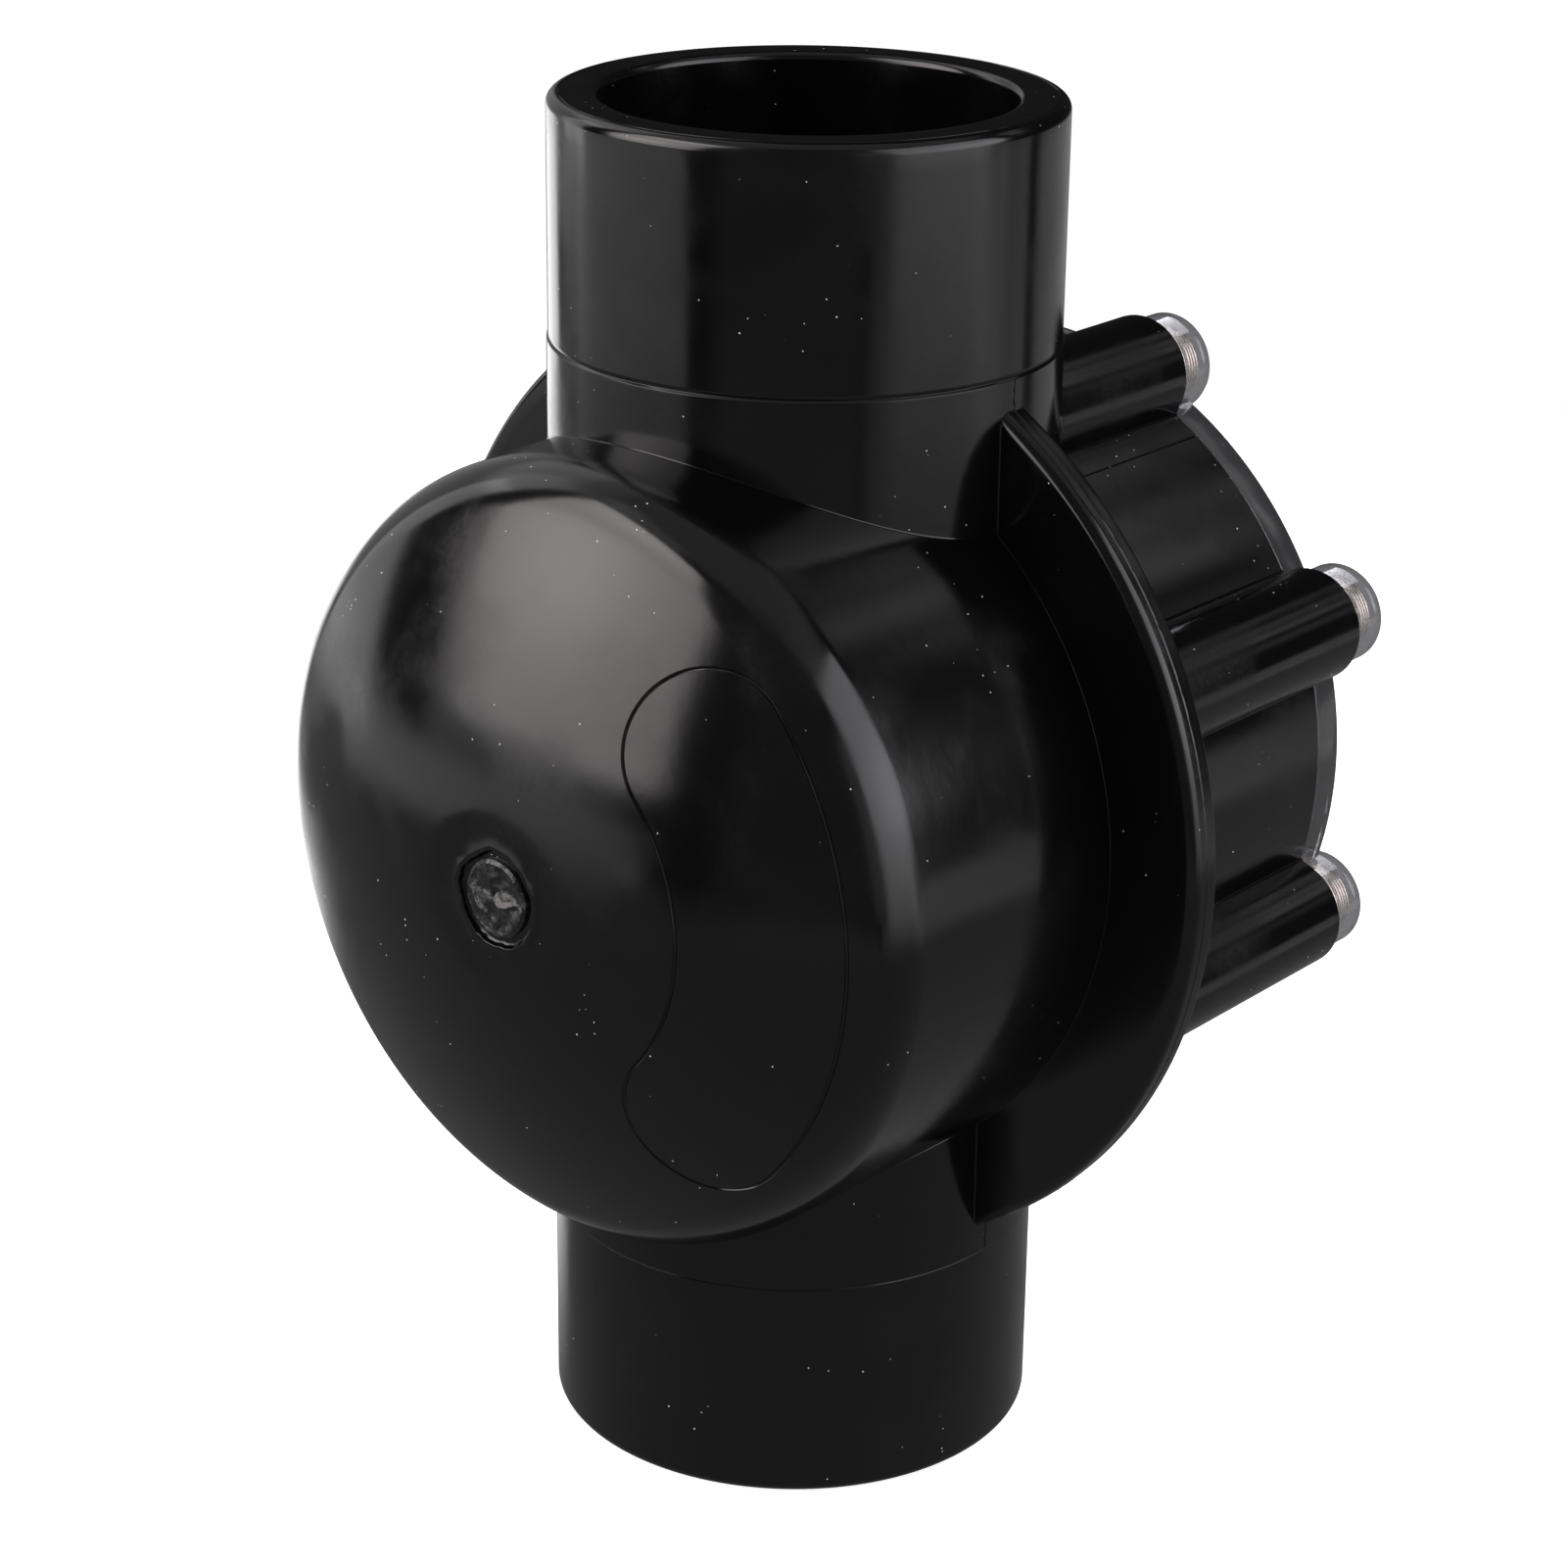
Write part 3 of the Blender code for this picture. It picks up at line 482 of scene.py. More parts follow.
# %% [markdown]
# The crease between a port and the drum is a saddle curve: at each angle round the port it lies where the
# port's side is as far from the drum's axis as the drum's own side.

# %% Beads along the saddles
BEAD = 0.00014
NEAR_FLANGE_BACK = -FLANGE_BACK - 0.0002
NEAR_FLANGE_FRONT = FLANGE_FRONT + FRONT_FILLET


def saddle(up, facing):
    """The crease of the upper (1) or lower (-1) port, facing the dome (-1) or the cover (1)."""
    run = []
    for i in range(97):
        turn = math.pi * i / 96
        x = NECK_RADIUS * math.cos(turn)
        height = facing * NECK_RADIUS * math.sin(turn)
        if NEAR_FLANGE_BACK < height < NEAR_FLANGE_FRONT:
            continue
        run.append((x, up * math.sqrt(side_radius(height) ** 2 - x**2), height))
    return run


flange_tip = math.sqrt(FLANGE_RADIUS**2 - NECK_RADIUS**2)
saddle_foot = math.sqrt(DRUM_RADIUS**2 - NECK_RADIUS**2)
for up in (1, -1):
    for facing in (1, -1):
        ports = combine(ports, "UNION", wire("bead", saddle(up, facing), BEAD, DRUM))
    for side in (1, -1):
        run = [(side * NECK_RADIUS, up * y, -FLANGE_BACK) for y in (saddle_foot, flange_tip - FLANGE_ROUND)]
        ports = combine(ports, "UNION", wire("bead", run, BEAD, DRUM))
housing = combine(housing, "UNION", ports)
report(housing)

# %% [markdown]
# ## The inside of the housing
# The drum is hollow. An oval passage rises from the lower socket to the slanted seat, and its outer wall
# stands in the chamber, joined to the dome. A post on that wall carries the hinge pin's far end. The front
# face reaches the cover, so only a hair's gap is left there.

# %% Chamber and seat
FACE = DRUM_FRONT + 0.00025
SEAT_RADIUS = 0.0225
SEAT_LAND = 0.004
PIN_HOLE = 0.00215
PIN_POST_RADIUS = 0.0042
PIN_POST_START = 0.0171
PIN_BEARING = 0.014
PIN_HOLE_START = 0.0165
PIN_HOLE_END = PIN_POST_START + PIN_BEARING
PIN_RIB = 0.005
DEEP = 2 * DRUM_RADIUS
chamber_outline = dome(WALL, 30) + [(CHAMBER_RADIUS, 0), (CHAMBER_RADIUS, FACE - 0.0006)]
chamber_outline += [(CHAMBER_RADIUS + 0.0006, FACE), (DEEP, FACE), (DEEP, 2 * FACE), (0, 2 * FACE)]
housing = combine(housing, "DIFFERENCE", turned("chamber", even(chamber_outline, 0.003), 192, DRUM))
wall_x = (SEAT_RADIUS + SEAT_LAND) * math.cos(SEAT_ANGLE)
seat = extruded("seat", oval(wall_x, SEAT_RADIUS + SEAT_LAND, 120), 0, LEVEL + DRUM_RADIUS, PORT, rows=36)
backing = extruded("backing", box(-wall_x, wall_x, -DRUM_RADIUS, DRUM_RADIUS), -DOME_DEPTH, 0, DRUM)
seat = combine(seat, "UNION", backing)
seat_plane = DRUM @ Matrix.Translation((0, -SEAT_DROP, 0)) @ Matrix.Rotation(SEAT_ANGLE, 4, "Z")
seat = combine(seat, "DIFFERENCE", extruded("above", box(-DEEP, DEEP, 0, DEEP), -DEEP, DEEP, seat_plane))
rib_outline = box(hinge.x, 0, hinge.y - PIN_RIB / 2, hinge.y + PIN_RIB / 2)
rib = extruded("rib", rib_outline, -DOME_DEPTH, -PIN_POST_START, DRUM)
post_round = circle(PIN_POST_RADIUS, 48, hinge)
post = extruded("post", post_round, -DOME_DEPTH, -PIN_POST_START, DRUM, 12)
seat = combine(seat, "UNION", rib, post)
envelope = dome(WALL / 2, 30) + [(DRUM_RADIUS - WALL / 2, 0), (DRUM_RADIUS - WALL / 2, FACE), (0, FACE)]
seat = combine(seat, "INTERSECT", turned("envelope", even(envelope, 0.003), 192, DRUM))
housing = combine(housing, "UNION", seat)
report(housing)

# %% [markdown]
# The sockets have a rounded mouth, so that the pipe finds its way in. The passage below the seat is oval and
# the outlet above is round. Screw holes and the blind hole for the hinge pin come last.

# %% Sockets, passages and holes
SCREW_RADIUS = 0.002
HOLE_DEPTH = 0.029
HOLE_TOP = 0.047
MOUTH_ROUND = 0.0009
quarter = [math.pi * i / 16 for i in range(9)]
mouth = [(SOCKET_RADIUS + MOUTH_ROUND * (1 - math.sin(t)), MOUTH_ROUND * (1 - math.cos(t))) for t in quarter]
socket_outline = [(0, -0.001), (SOCKET_RADIUS + 0.002, -0.001)] + mouth
socket_outline += rounded([(*mouth[-1], 0), (SOCKET_RADIUS, SOCKET_DEPTH, 0.0003), (0, SOCKET_DEPTH, 0)])[1:]
upside_down = Matrix.Translation((0, AXIS_Y, HEIGHT)) @ Matrix.Rotation(math.pi, 4, "X")
for end in (PORT, upside_down):
    housing = combine(housing, "DIFFERENCE", turned("socket", even(socket_outline, 0.003), PORT_STEPS, end))
passage_x = SEAT_RADIUS * math.cos(SEAT_ANGLE)
passage_oval = oval(passage_x, SEAT_RADIUS, 144)
passage = extruded("passage", passage_oval, SOCKET_DEPTH - 0.001, LEVEL + passage_x, PORT, 16)
outlet_top = HEIGHT - SOCKET_DEPTH + 0.001
outlet = extruded("outlet", circle(OUTLET_RADIUS, 144), LEVEL + OUTLET_RADIUS, outlet_top, PORT, 12)
housing = combine(housing, "DIFFERENCE", passage, outlet)
hole_outline = circle(SCREW_RADIUS + GAP, 32, (0, BOSS_CIRCLE))
for turn in BOSS_TURNS:
    hole = extruded("hole", hole_outline, DRUM_FRONT - HOLE_DEPTH, HOLE_TOP, round_turn(turn))
    housing = combine(housing, "DIFFERENCE", hole)
pin_hole = extruded("pin_hole", circle(PIN_HOLE, 32, hinge), -PIN_HOLE_END, -PIN_HOLE_START, DRUM)
housing = combine(housing, "DIFFERENCE", pin_hole)

# %% [markdown]
# ## Lines left by the mould
# The bare panel on the dome has a fine groove round it, shaped like a kidney: an arc round the drum's axis
# with round ends. The cutter is wire that follows the dome, so the groove is equally deep all round.

# %% The panel's groove
PANEL_CIRCLE = 0.0336
PANEL_HALF_WIDTH = 0.0091
PANEL_HALF_ANGLE = math.radians(41)
GROOVE_LIFT = 0.00004
GROOVE_RADIUS = 0.00025


def on_dome(x, y, lift):
    """The spot over (x, y) in the drum's frame, lifted off the dome."""
    radius = math.hypot(x, y)
    outline = dome(-lift, 60)
    for (r0, h0), (r1, h1) in zip(outline, outline[1:]):
        if radius <= r1:
            return (x, y, h0 + (h1 - h0) * (radius - r0) / (r1 - r0))
    return (x, y, outline[-1][1])


def panel_outline():
    points = []
    for side in (1, -1):
        radius = PANEL_CIRCLE + side * PANEL_HALF_WIDTH
        sweep = [math.pi + side * PANEL_HALF_ANGLE * (i / 30 - 1) for i in range(61)]
        points += [(radius * math.cos(a), radius * math.sin(a)) for a in sweep]
        end = sweep[-1]
        middle = Vector((math.cos(end), math.sin(end))) * PANEL_CIRCLE
        first = end if side == 1 else end + math.pi
        for i in range(1, 30):
            turn = first + math.pi * i / 30
            round_end = middle + Vector((math.cos(turn), math.sin(turn))) * PANEL_HALF_WIDTH
            points.append(tuple(round_end))
    return points


groove_line = [on_dome(x, y, GROOVE_LIFT) for x, y in panel_outline()]
groove = wire("groove", groove_line, GROOVE_RADIUS, DRUM, ring=True, sides=3)
housing = combine(housing, "DIFFERENCE", groove)

# %% [markdown]
# Two straight lines beside each port show where the mould's inserts ended. A hair line climbs each port on
# the mould's parting plane, from the flange's tip to the fine step, and it isn't quite straight.

# %% Insert lines and parting lines
INSERT_HALF_WIDTH = 0.0278
insert_level = math.sqrt(DRUM_RADIUS**2 - INSERT_HALF_WIDTH**2)
for x in (-INSERT_HALF_WIDTH, INSERT_HALF_WIDTH):
    for y in (-insert_level, insert_level):
        line = [(x, y, h) for h in (NEAR_FLANGE_FRONT, DRUM_FRONT + 0.001)]
        housing = combine(housing, "DIFFERENCE", wire("line", line, 0.00014, DRUM))
climb = [flange_tip - 0.0003 + (LEVEL - SOCKET_DEPTH + 0.0002 - flange_tip) * i / 12 for i in range(13)]
for side in (-1, 1):
    for up in (-1, 1):
        run = []
        for y in climb:
            run.append((side * NECK_RADIUS, up * y, PARTING + 0.00025 * noise.noise((900 * y, side, up))))
        housing = combine(housing, "DIFFERENCE", wire("line", run, 0.00015, DRUM))
smooth(housing, 32)
report(housing)
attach(housing, "valve_body")
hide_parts("body")

# %% [markdown]
# ## Torn plastic
# The stub in the gate was twisted off, so its face is rough and shiny in places. It is a turned cap whose
# points are then moved by noise. The flash on the flange's rim is wire whose thickness comes and goes.

# %% The gate stub and the rim's flash
STUB_RADIUS = 0.00475
STUB_HEIGHT = 0.0013
FLASH_POINTS = 1100
stub_corners = [(0, 0.0), (0.0042, 0.0001), (0.0046, 0.0004), (STUB_RADIUS, STUB_HEIGHT), (0, STUB_HEIGHT)]
stub_outline = even(stub_corners, 0.00015)
in_gate = DRUM @ Matrix.Translation((0.0001, -0.0001, pit_floor - 0.0008))
stub = turned("gate_stub", stub_outline, 110, in_gate)
for vertex in stub.data.vertices:
    spot = in_gate.inverted() @ vertex.co
    if spot.z > 0.0011:
        continue
    place = Vector((spot.x, spot.y, 0))
    coarse = noise.hetero_terrain(place * 420 + Vector((7, 3, 1)), 0.9, 2.1, 4, 0.7)
    ridge = max(0.0, 1 - abs(noise.noise(place * 300 + Vector((1, 8, 2)))) * 4)
    inner_part = max(0.0, 1 - (place.length / 0.0046) ** 6)
    twist = 1 + 0.05 * noise.noise(place * 260)
    depth = (0.00022 * coarse - 0.00028 * ridge) * inner_part
    vertex.co = in_gate @ Vector((spot.x * twist, spot.y * twist, spot.z + depth))
report(stub)
flash_line = []
flash_swell = []
for i in range(FLASH_POINTS):
    turn = 2 * math.pi * i / FLASH_POINTS
    here = Vector((math.cos(turn), math.sin(turn), 0))
    shake = 0.00007 * noise.noise(here * 90)
    flash_line.append((here.x * rim, here.y * rim, PARTING + shake))
    flash_swell.append(0.75 + 0.55 * noise.noise(here * 45) + 0.4 * noise.noise(here * 150))
flash = wire("rim_flash", flash_line, 0.00008, DRUM, ring=True, sides=1, swell=flash_swell)
report(flash)
for piece in (stub, flash):
    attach(piece, "valve_body")

# %% [markdown]
# ## The clear cover
# The cover is a thick disc with a spigot that enters the drum, a groove for the ring, eight lugs that hold
# the screw heads, and a post for the hinge pin. It is one closed solid, because glass is drawn by what
# enters and leaves it, and every edge is rounded so that it catches the light.

# %% Cover
COVER_BACK = DRUM_FRONT + GAP
COVER_FRONT = 0.0468
WINDOW = 0.0385
WINDOW_SINK = 0.0012
SPIGOT_RADIUS = CHAMBER_RADIUS - GAP
SPIGOT_END = COVER_BACK - 0.0075
SPIGOT_BORE = 0.0367
RING_CORD = 0.0012
groove_front = COVER_BACK - 0.0022
groove_back = groove_front - 2 * (RING_CORD + GAP)
groove_floor = SPIGOT_RADIUS - 2 * RING_CORD - GAP
cover_outline = rounded(
    [
        (0, COVER_BACK, 0),
        (SPIGOT_BORE, COVER_BACK, 0.0005),
        (SPIGOT_BORE, SPIGOT_END, 0.0006),
        (SPIGOT_RADIUS, SPIGOT_END, 0.0005),
        (SPIGOT_RADIUS, groove_back, 0.0002),
        (groove_floor, groove_back, 0.0003),
        (groove_floor, groove_front, 0.0003),
        (SPIGOT_RADIUS, groove_front, 0.0002),
        (SPIGOT_RADIUS, COVER_BACK, 0.0002),
        (DRUM_RADIUS, COVER_BACK, 0.0002),
        (DRUM_RADIUS, COVER_FRONT, 0.0009),
        (WINDOW + WINDOW_SINK, COVER_FRONT, 0.0005),
        (WINDOW, COVER_FRONT - WINDOW_SINK, 0.0005),
        (0, COVER_FRONT - WINDOW_SINK, 0),
    ]
)
cover = turned("clear_cover", even(cover_outline, 0.0025), 256, DRUM)

# %% [markdown]
# Each lug holds a screw head in a counterbore. The post on the inside has a blind hole for the hinge pin.

# %% Lugs, counterbores and the pin's post
LUG_RADIUS = 0.00615
LUG_END = 0.0484
LUG_FLOOR = 0.0018
COUNTERBORE = 0.0049


def at_boss(turn, height=0.0):
    """The frame on a boss's axis, at a height along the drum's axis."""
    return round_turn(turn) @ Matrix.Translation((0, BOSS_CIRCLE, height))


lug_outline = [(0, COVER_BACK, 0), (LUG_RADIUS, COVER_BACK, 0.0002)]
lug_outline += [(LUG_RADIUS, LUG_END, 0.0005), (0, LUG_END, 0)]
bore_floor = DRUM_FRONT + LUG_FLOOR
bore_outline = [(0, bore_floor, 0), (COUNTERBORE, bore_floor, 0.0003), (COUNTERBORE, LUG_END - 0.0003, 0)]
bore_outline += [(COUNTERBORE + 0.0008, LUG_END + 0.0005, 0), (0, LUG_END + 0.0005, 0)]
for turn in BOSS_TURNS:
    cover = combine(cover, "UNION", turned("lug", rounded(lug_outline), 72, at_boss(turn)))
for turn in BOSS_TURNS:
    cover = combine(cover, "DIFFERENCE", turned("counterbore", rounded(bore_outline), 72, at_boss(turn)))
    hole = extruded("hole", hole_outline, DRUM_FRONT - 0.001, COVER_FRONT, round_turn(turn))
    cover = combine(cover, "DIFFERENCE", hole)
post_outline = [(0, PIN_POST_START, 0), (PIN_POST_RADIUS, PIN_POST_START, 0.0004)]
post_outline += [(PIN_POST_RADIUS, COVER_BACK + 0.0005, 0), (0, COVER_BACK + 0.0005, 0)]
pin_place = (hinge.x, hinge.y, 0)
cover = combine(cover, "UNION", turned("post", even(rounded(post_outline), 0.003), 48, DRUM, pin_place))
blind = extruded("blind", circle(PIN_HOLE, 32, hinge), PIN_HOLE_START, PIN_HOLE_END, DRUM)
cover = combine(cover, "DIFFERENCE", blind)
smooth(cover, 32)
report(cover)
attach(cover, "valve_body")
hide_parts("cover")

# %% [markdown]
# ## Ring, washers and screws
# The rubber ring seals the spigot. The stainless screws have pan heads with a cross recess, cut by two
# crossed bars that narrow as they go down. One washer and one screw are made and then copied round the drum.

# %% The sealing ring
ring_centre = (CHAMBER_RADIUS - GAP - RING_CORD, groove_front - RING_CORD - GAP)
ring = turned("sealing_ring", arc(ring_centre, RING_CORD, 0, 360, 20), 192, DRUM)
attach(ring, "valve_body")
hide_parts("cover_o_ring")

# %% A pan head screw


def cross_recess(piece, where, length, width, depth):
    """Cuts a cross recess into a head whose top is the frame's level."""
    top, middle = length / 2, length / 4
    outline = [(-top, -0.0006), (top, -0.0006), (top, 0), (middle, depth), (-middle, depth), (-top, 0)]
    on_edge = Matrix.Rotation(-math.pi / 2, 4, "X")
    for quarter_turn in (0, 1):
        blade_frame = where @ Matrix.Rotation(math.pi / 2 * quarter_turn, 4, "Z") @ on_edge
        piece = combine(piece, "DIFFERENCE", extruded("blade", outline, -width / 2, width / 2, blade_frame))
    return piece


def pan_screw(name, shank, length, head, rise, where):
    """A pan head screw whose head sits on height 0 and whose shank points down."""
    outline = rounded(
        [
            (0, -length, 0),
            (0.4 * shank, -length, 0.0002),
            (shank, 0.0025 - length, 0.0006),
            (shank, 0, 0.0001),
            (head, 0, 0.0002),
            (head, 0.82 * rise, 0.0005),
            (0.8 * head, 0.97 * rise, 0.0005),
            (0, rise, 0),
        ]
    )
    screw = turned(name, even(outline, 0.002), 64, where)
    head_top = where @ Matrix.Translation((0, 0, rise))
    return smooth(cross_recess(screw, head_top, 1.15 * head, 0.22 * head, 0.6 * rise))


# %% Washers and screws round the drum
HEAD_RADIUS = 0.0042
HEAD_HEIGHT = 0.003
WASHER_RADIUS = 0.0047
WASHER_THICKNESS = 0.001
WASHER_EDGE = 0.0002
SCREW_REACH = 0.0265
washer_level = bore_floor + GAP
head_level = washer_level + WASHER_THICKNESS + GAP
inner = SCREW_RADIUS + GAP
washer_outline = rounded(
    [
        (inner, WASHER_THICKNESS / 2, 0),
        (inner, 0, WASHER_EDGE),
        (WASHER_RADIUS, 0, WASHER_EDGE),
        (WASHER_RADIUS, WASHER_THICKNESS, WASHER_EDGE),
        (inner, WASHER_THICKNESS, WASHER_EDGE),
        (inner, WASHER_THICKNESS / 2, 0),
    ]
)
first_washer = turned("washer", washer_outline, 64, Matrix())
screw_length = SCREW_REACH + head_level - DRUM_FRONT
first_screw = pan_screw("screw", SCREW_RADIUS, screw_length, HEAD_RADIUS, HEAD_HEIGHT, Matrix())
report(first_washer)
report(first_screw)
fasteners = []
for number, turn in enumerate(BOSS_TURNS, 1):
    own_turn = Matrix.Rotation(1.7 * number, 4, "Z")
    washer = copied(first_washer, f"washer_{number}", at_boss(turn, washer_level) @ own_turn)
    screw = copied(first_screw, f"screw_{number}", at_boss(turn, head_level) @ own_turn)
    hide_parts(f"cover_washer_{number}")
    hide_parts(f"cover_screw_{number}")
    fasteners += [washer, screw]
bpy.data.objects.remove(first_washer)
bpy.data.objects.remove(first_screw)
for piece in fasteners:
    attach(piece, "valve_body")
print(len(fasteners), "washers and screws")

# %% [markdown]
# ## The door
# The door is a dished disc with a rolled rim, a hub, two ribs and two knuckles that turn on the pin. Its
# soft disc is clamped under it by a steel plate and a screw. All of it rides on the door's body.

# %% Sizes of the door
SEAL_RADIUS = 0.026
SEAL_THICKNESS = 0.0025
DOOR_RADIUS = 0.0265
DOOR_THICKNESS = 0.0035
DOOR_DISH = 0.001
DOOR_RIM = 0.0035
HUB_RADIUS = 0.0055
HUB_RISE = 0.004
KNUCKLE_RADIUS = 0.0045
KNUCKLE_START = 0.0085
KNUCKLE_END = 0.0165
RETAINER_RADIUS = 0.0185
RETAINER_THICKNESS = 0.002
RETAINER_SCREW = 0.0019
RETAINER_HEAD_RADIUS = 0.0038
RETAINER_HEAD_HEIGHT = 0.0022
seal_bottom = GAP - HINGE_RISE
door_bottom = seal_bottom + SEAL_THICKNESS + GAP
door_top = door_bottom + DOOR_THICKNESS
dish_level = door_top - DOOR_DISH
door_centre = (HINGE_REACH, 0, 0)

# %% Disc, ribs, arms and knuckles
disc_outline = rounded(
    [
        (0, door_bottom, 0),
        (DOOR_RADIUS, door_bottom, 0.0005),
        (DOOR_RADIUS, door_top, 0.0009),
        (DOOR_RADIUS - DOOR_RIM, door_top, 0.0006),
        (DOOR_RADIUS - DOOR_RIM - DOOR_DISH, dish_level, 0.0008),
        (HUB_RADIUS + 0.001, dish_level, 0.0009),
        (HUB_RADIUS, door_top + HUB_RISE, 0.0007),
        (0, door_top + HUB_RISE, 0),
    ]
)
door = turned("door_disc", even(disc_outline, 0.0015), 144, HINGE, door_centre)
rib_end = HINGE_REACH + DOOR_RADIUS * 0.75
rib_side = [(0, dish_level - 0.001), (rib_end, dish_level - 0.001), (rib_end, dish_level + 0.0004)]
rib_side += [(rib_end - 0.004, door_top + 0.0016), (0, door_top + 0.0018)]
arm_side = box(0, HINGE_REACH - SEAT_RADIUS + DOOR_RIM, door_bottom, door_top + 0.0009)
lying = HINGE @ Matrix.Rotation(math.pi / 2, 4, "X")
for side in (-1, 1):
    middle = side * (KNUCKLE_START + KNUCKLE_END) / 2
    low, high = sorted((side * KNUCKLE_START, side * KNUCKLE_END))
    rib = extruded("rib", rib_side, -middle - 0.001, -middle + 0.001, lying)
    arm = extruded("arm", arm_side, -high, -low, lying)
    knuckle = extruded("knuckle", circle(KNUCKLE_RADIUS, 64), -high, -low, lying)
    door = combine(door, "UNION", rib, arm, knuckle)
bore = extruded("bore", circle(PIN_HOLE, 40), -0.033, 0.033, lying)
hole_radius = RETAINER_SCREW + GAP
hub_hole = circle(hole_radius, 32, door_centre)
hole = extruded("hole", hub_hole, door_bottom - GAP, door_top + HUB_RISE / 2, HINGE)
door = combine(door, "DIFFERENCE", bore, hole)
smooth(door, 32)
report(door)
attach(door, "door")
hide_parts("flapper")

# %% Soft disc, clamping plate and its screw
seal_middle = seal_bottom + SEAL_THICKNESS / 2
seal_outline = rounded(
    [
        (hole_radius, seal_middle, 0),
        (hole_radius, seal_bottom, 0.0002),
        (SEAL_RADIUS, seal_bottom, 0.0007),
        (SEAL_RADIUS, seal_bottom + SEAL_THICKNESS, 0.0007),
        (hole_radius, seal_bottom + SEAL_THICKNESS, 0.0002),
        (hole_radius, seal_middle, 0),
    ]
)
seal = turned("soft_disc", even(seal_outline, 0.003), 128, HINGE, door_centre)
plate_top = seal_bottom - GAP
plate_bottom = plate_top - RETAINER_THICKNESS
plate_outline = rounded(
    [
        (hole_radius, plate_top - 0.001, 0),
        (hole_radius, plate_bottom, 0.0002),
        (RETAINER_RADIUS, plate_bottom, 0.0007),
        (RETAINER_RADIUS, plate_top, 0.0002),
        (hole_radius, plate_top, 0.0002),
        (hole_radius, plate_top - 0.001, 0),
    ]
)
plate = turned("clamping_plate", even(plate_outline, 0.003), 128, HINGE, door_centre)
below_plate = Matrix.Translation((HINGE_REACH, 0, plate_bottom - GAP))
under_plate = HINGE @ below_plate @ Matrix.Rotation(math.pi, 4, "X")
plate_screw_length = door_top + HUB_RISE / 2 - plate_bottom
plate_screw_sizes = (RETAINER_SCREW, plate_screw_length, RETAINER_HEAD_RADIUS, RETAINER_HEAD_HEIGHT)
plate_screw = pan_screw("plate_screw", *plate_screw_sizes, under_plate)
for piece, cad_piece, slot in (
    (seal, "flapper_seal", "rubber"),
    (plate, "seal_retainer", "steel"),
    (plate_screw, "retainer_screw", "steel"),
):
    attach(piece, "door")
    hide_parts(cad_piece)
    report(piece)

# %% [markdown]
# ## Hinge pin and spring
# The pin reaches into the housing's post and the cover's. Between the knuckles it carries a torsion spring
# of round wire: one leg lies on the door and the other on the chamber's wall, and they push it shut.

# %% Pin and spring
PIN_RADIUS = 0.002
SPRING_WIRE = 0.00045
SPRING_TURNS = 5
SPRING_RADIUS = PIN_RADIUS + 2 * GAP + 1.5 * SPRING_WIRE
SPRING_LEG = 0.016
COIL_STEPS = 24 * SPRING_TURNS
pin_half = PIN_POST_START + PIN_BEARING - GAP
pin_outline = [(0, -pin_half, 0), (PIN_RADIUS, -pin_half, 0.0004)]
pin_outline += [(PIN_RADIUS, pin_half, 0.0004), (0, pin_half, 0)]
pin = turned("pin", even(rounded(pin_outline), 0.004), 48, DRUM, pin_place)
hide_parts("hinge_pin")
spring_half = KNUCKLE_START - GAP - 2 * SPRING_WIRE
leg_level = door_top + GAP + SPRING_WIRE
wall_leg = CHAMBER_RADIUS - GAP - SPRING_WIRE - hinge.length
spring_line = [(SPRING_LEG, spring_half, leg_level), (0.45 * SPRING_LEG, spring_half, leg_level)]
for i in range(COIL_STEPS + 1):
    turn = 2 * math.pi * i / 24
    along = spring_half - 2 * spring_half * i / COIL_STEPS
    spring_line.append((-SPRING_RADIUS * math.sin(turn), along, SPRING_RADIUS * math.cos(turn)))
spring_line.append((-wall_leg, -spring_half, SPRING_RADIUS))
spring = wire("spring", spring_line, SPRING_WIRE, HINGE, sides=3)
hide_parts("hinge_spring")
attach(pin, "valve_body")
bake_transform(spring)
for piece in (pin, spring):
    report(piece)

# %% [markdown]
# ## Helpers for nodes
# Materials are built from nodes. These helpers add a node, set its plain values and link the rest, and
# make a node group with named sockets, so that one effect serves several materials.

# %% Node helpers


def feed(tree, socket, value):
    """Links a socket to another one, or gives it a plain value."""
    if isinstance(value, bpy.types.NodeSocket):
        tree.links.new(value, socket)
    else:
        socket.default_value = value


def node(tree, kind, **values):
    """Adds a node. Values name its settings or its sockets, with _ for a space."""
    item = tree.nodes.new("ShaderNode" + kind)
    for key, value in values.items():
        if hasattr(item, key):
            setattr(item, key, value)
        else:
            feed(tree, item.inputs[key.replace("_", " ")], value)
    return item


def sums(tree, operation, *values, clamp=False):
    """One step of arithmetic on sockets or numbers."""
    item = tree.nodes.new("ShaderNodeMath")
    item.operation = operation
    item.use_clamp = clamp
    for socket, value in zip(item.inputs, values):
        feed(tree, socket, value)
    return item.outputs[0]


def fade(tree, value, start, end, low=0.0, high=1.0):
    """Goes smoothly from low to high as value goes from start to end."""
    item = tree.nodes.new("ShaderNodeMapRange")
    item.interpolation_type = "SMOOTHSTEP"
    ends = (("Value", value), ("From Min", start), ("From Max", end), ("To Min", low), ("To Max", high))
    for key, number in ends:
        feed(tree, item.inputs[key], number)
    return item.outputs["Result"]


def vectors(tree, operation, *values):
    """One step of vector arithmetic."""
    item = node(tree, "VectorMath", operation=operation)
    for socket, value in zip(item.inputs, values):
        feed(tree, socket, value)
    return item.outputs


def noisy(tree, place, scale, detail=2.0, **values):
    """The value of a noise texture."""
    return node(tree, "TexNoise", Vector=place, Scale=scale, Detail=detail, **values).outputs["Fac"]


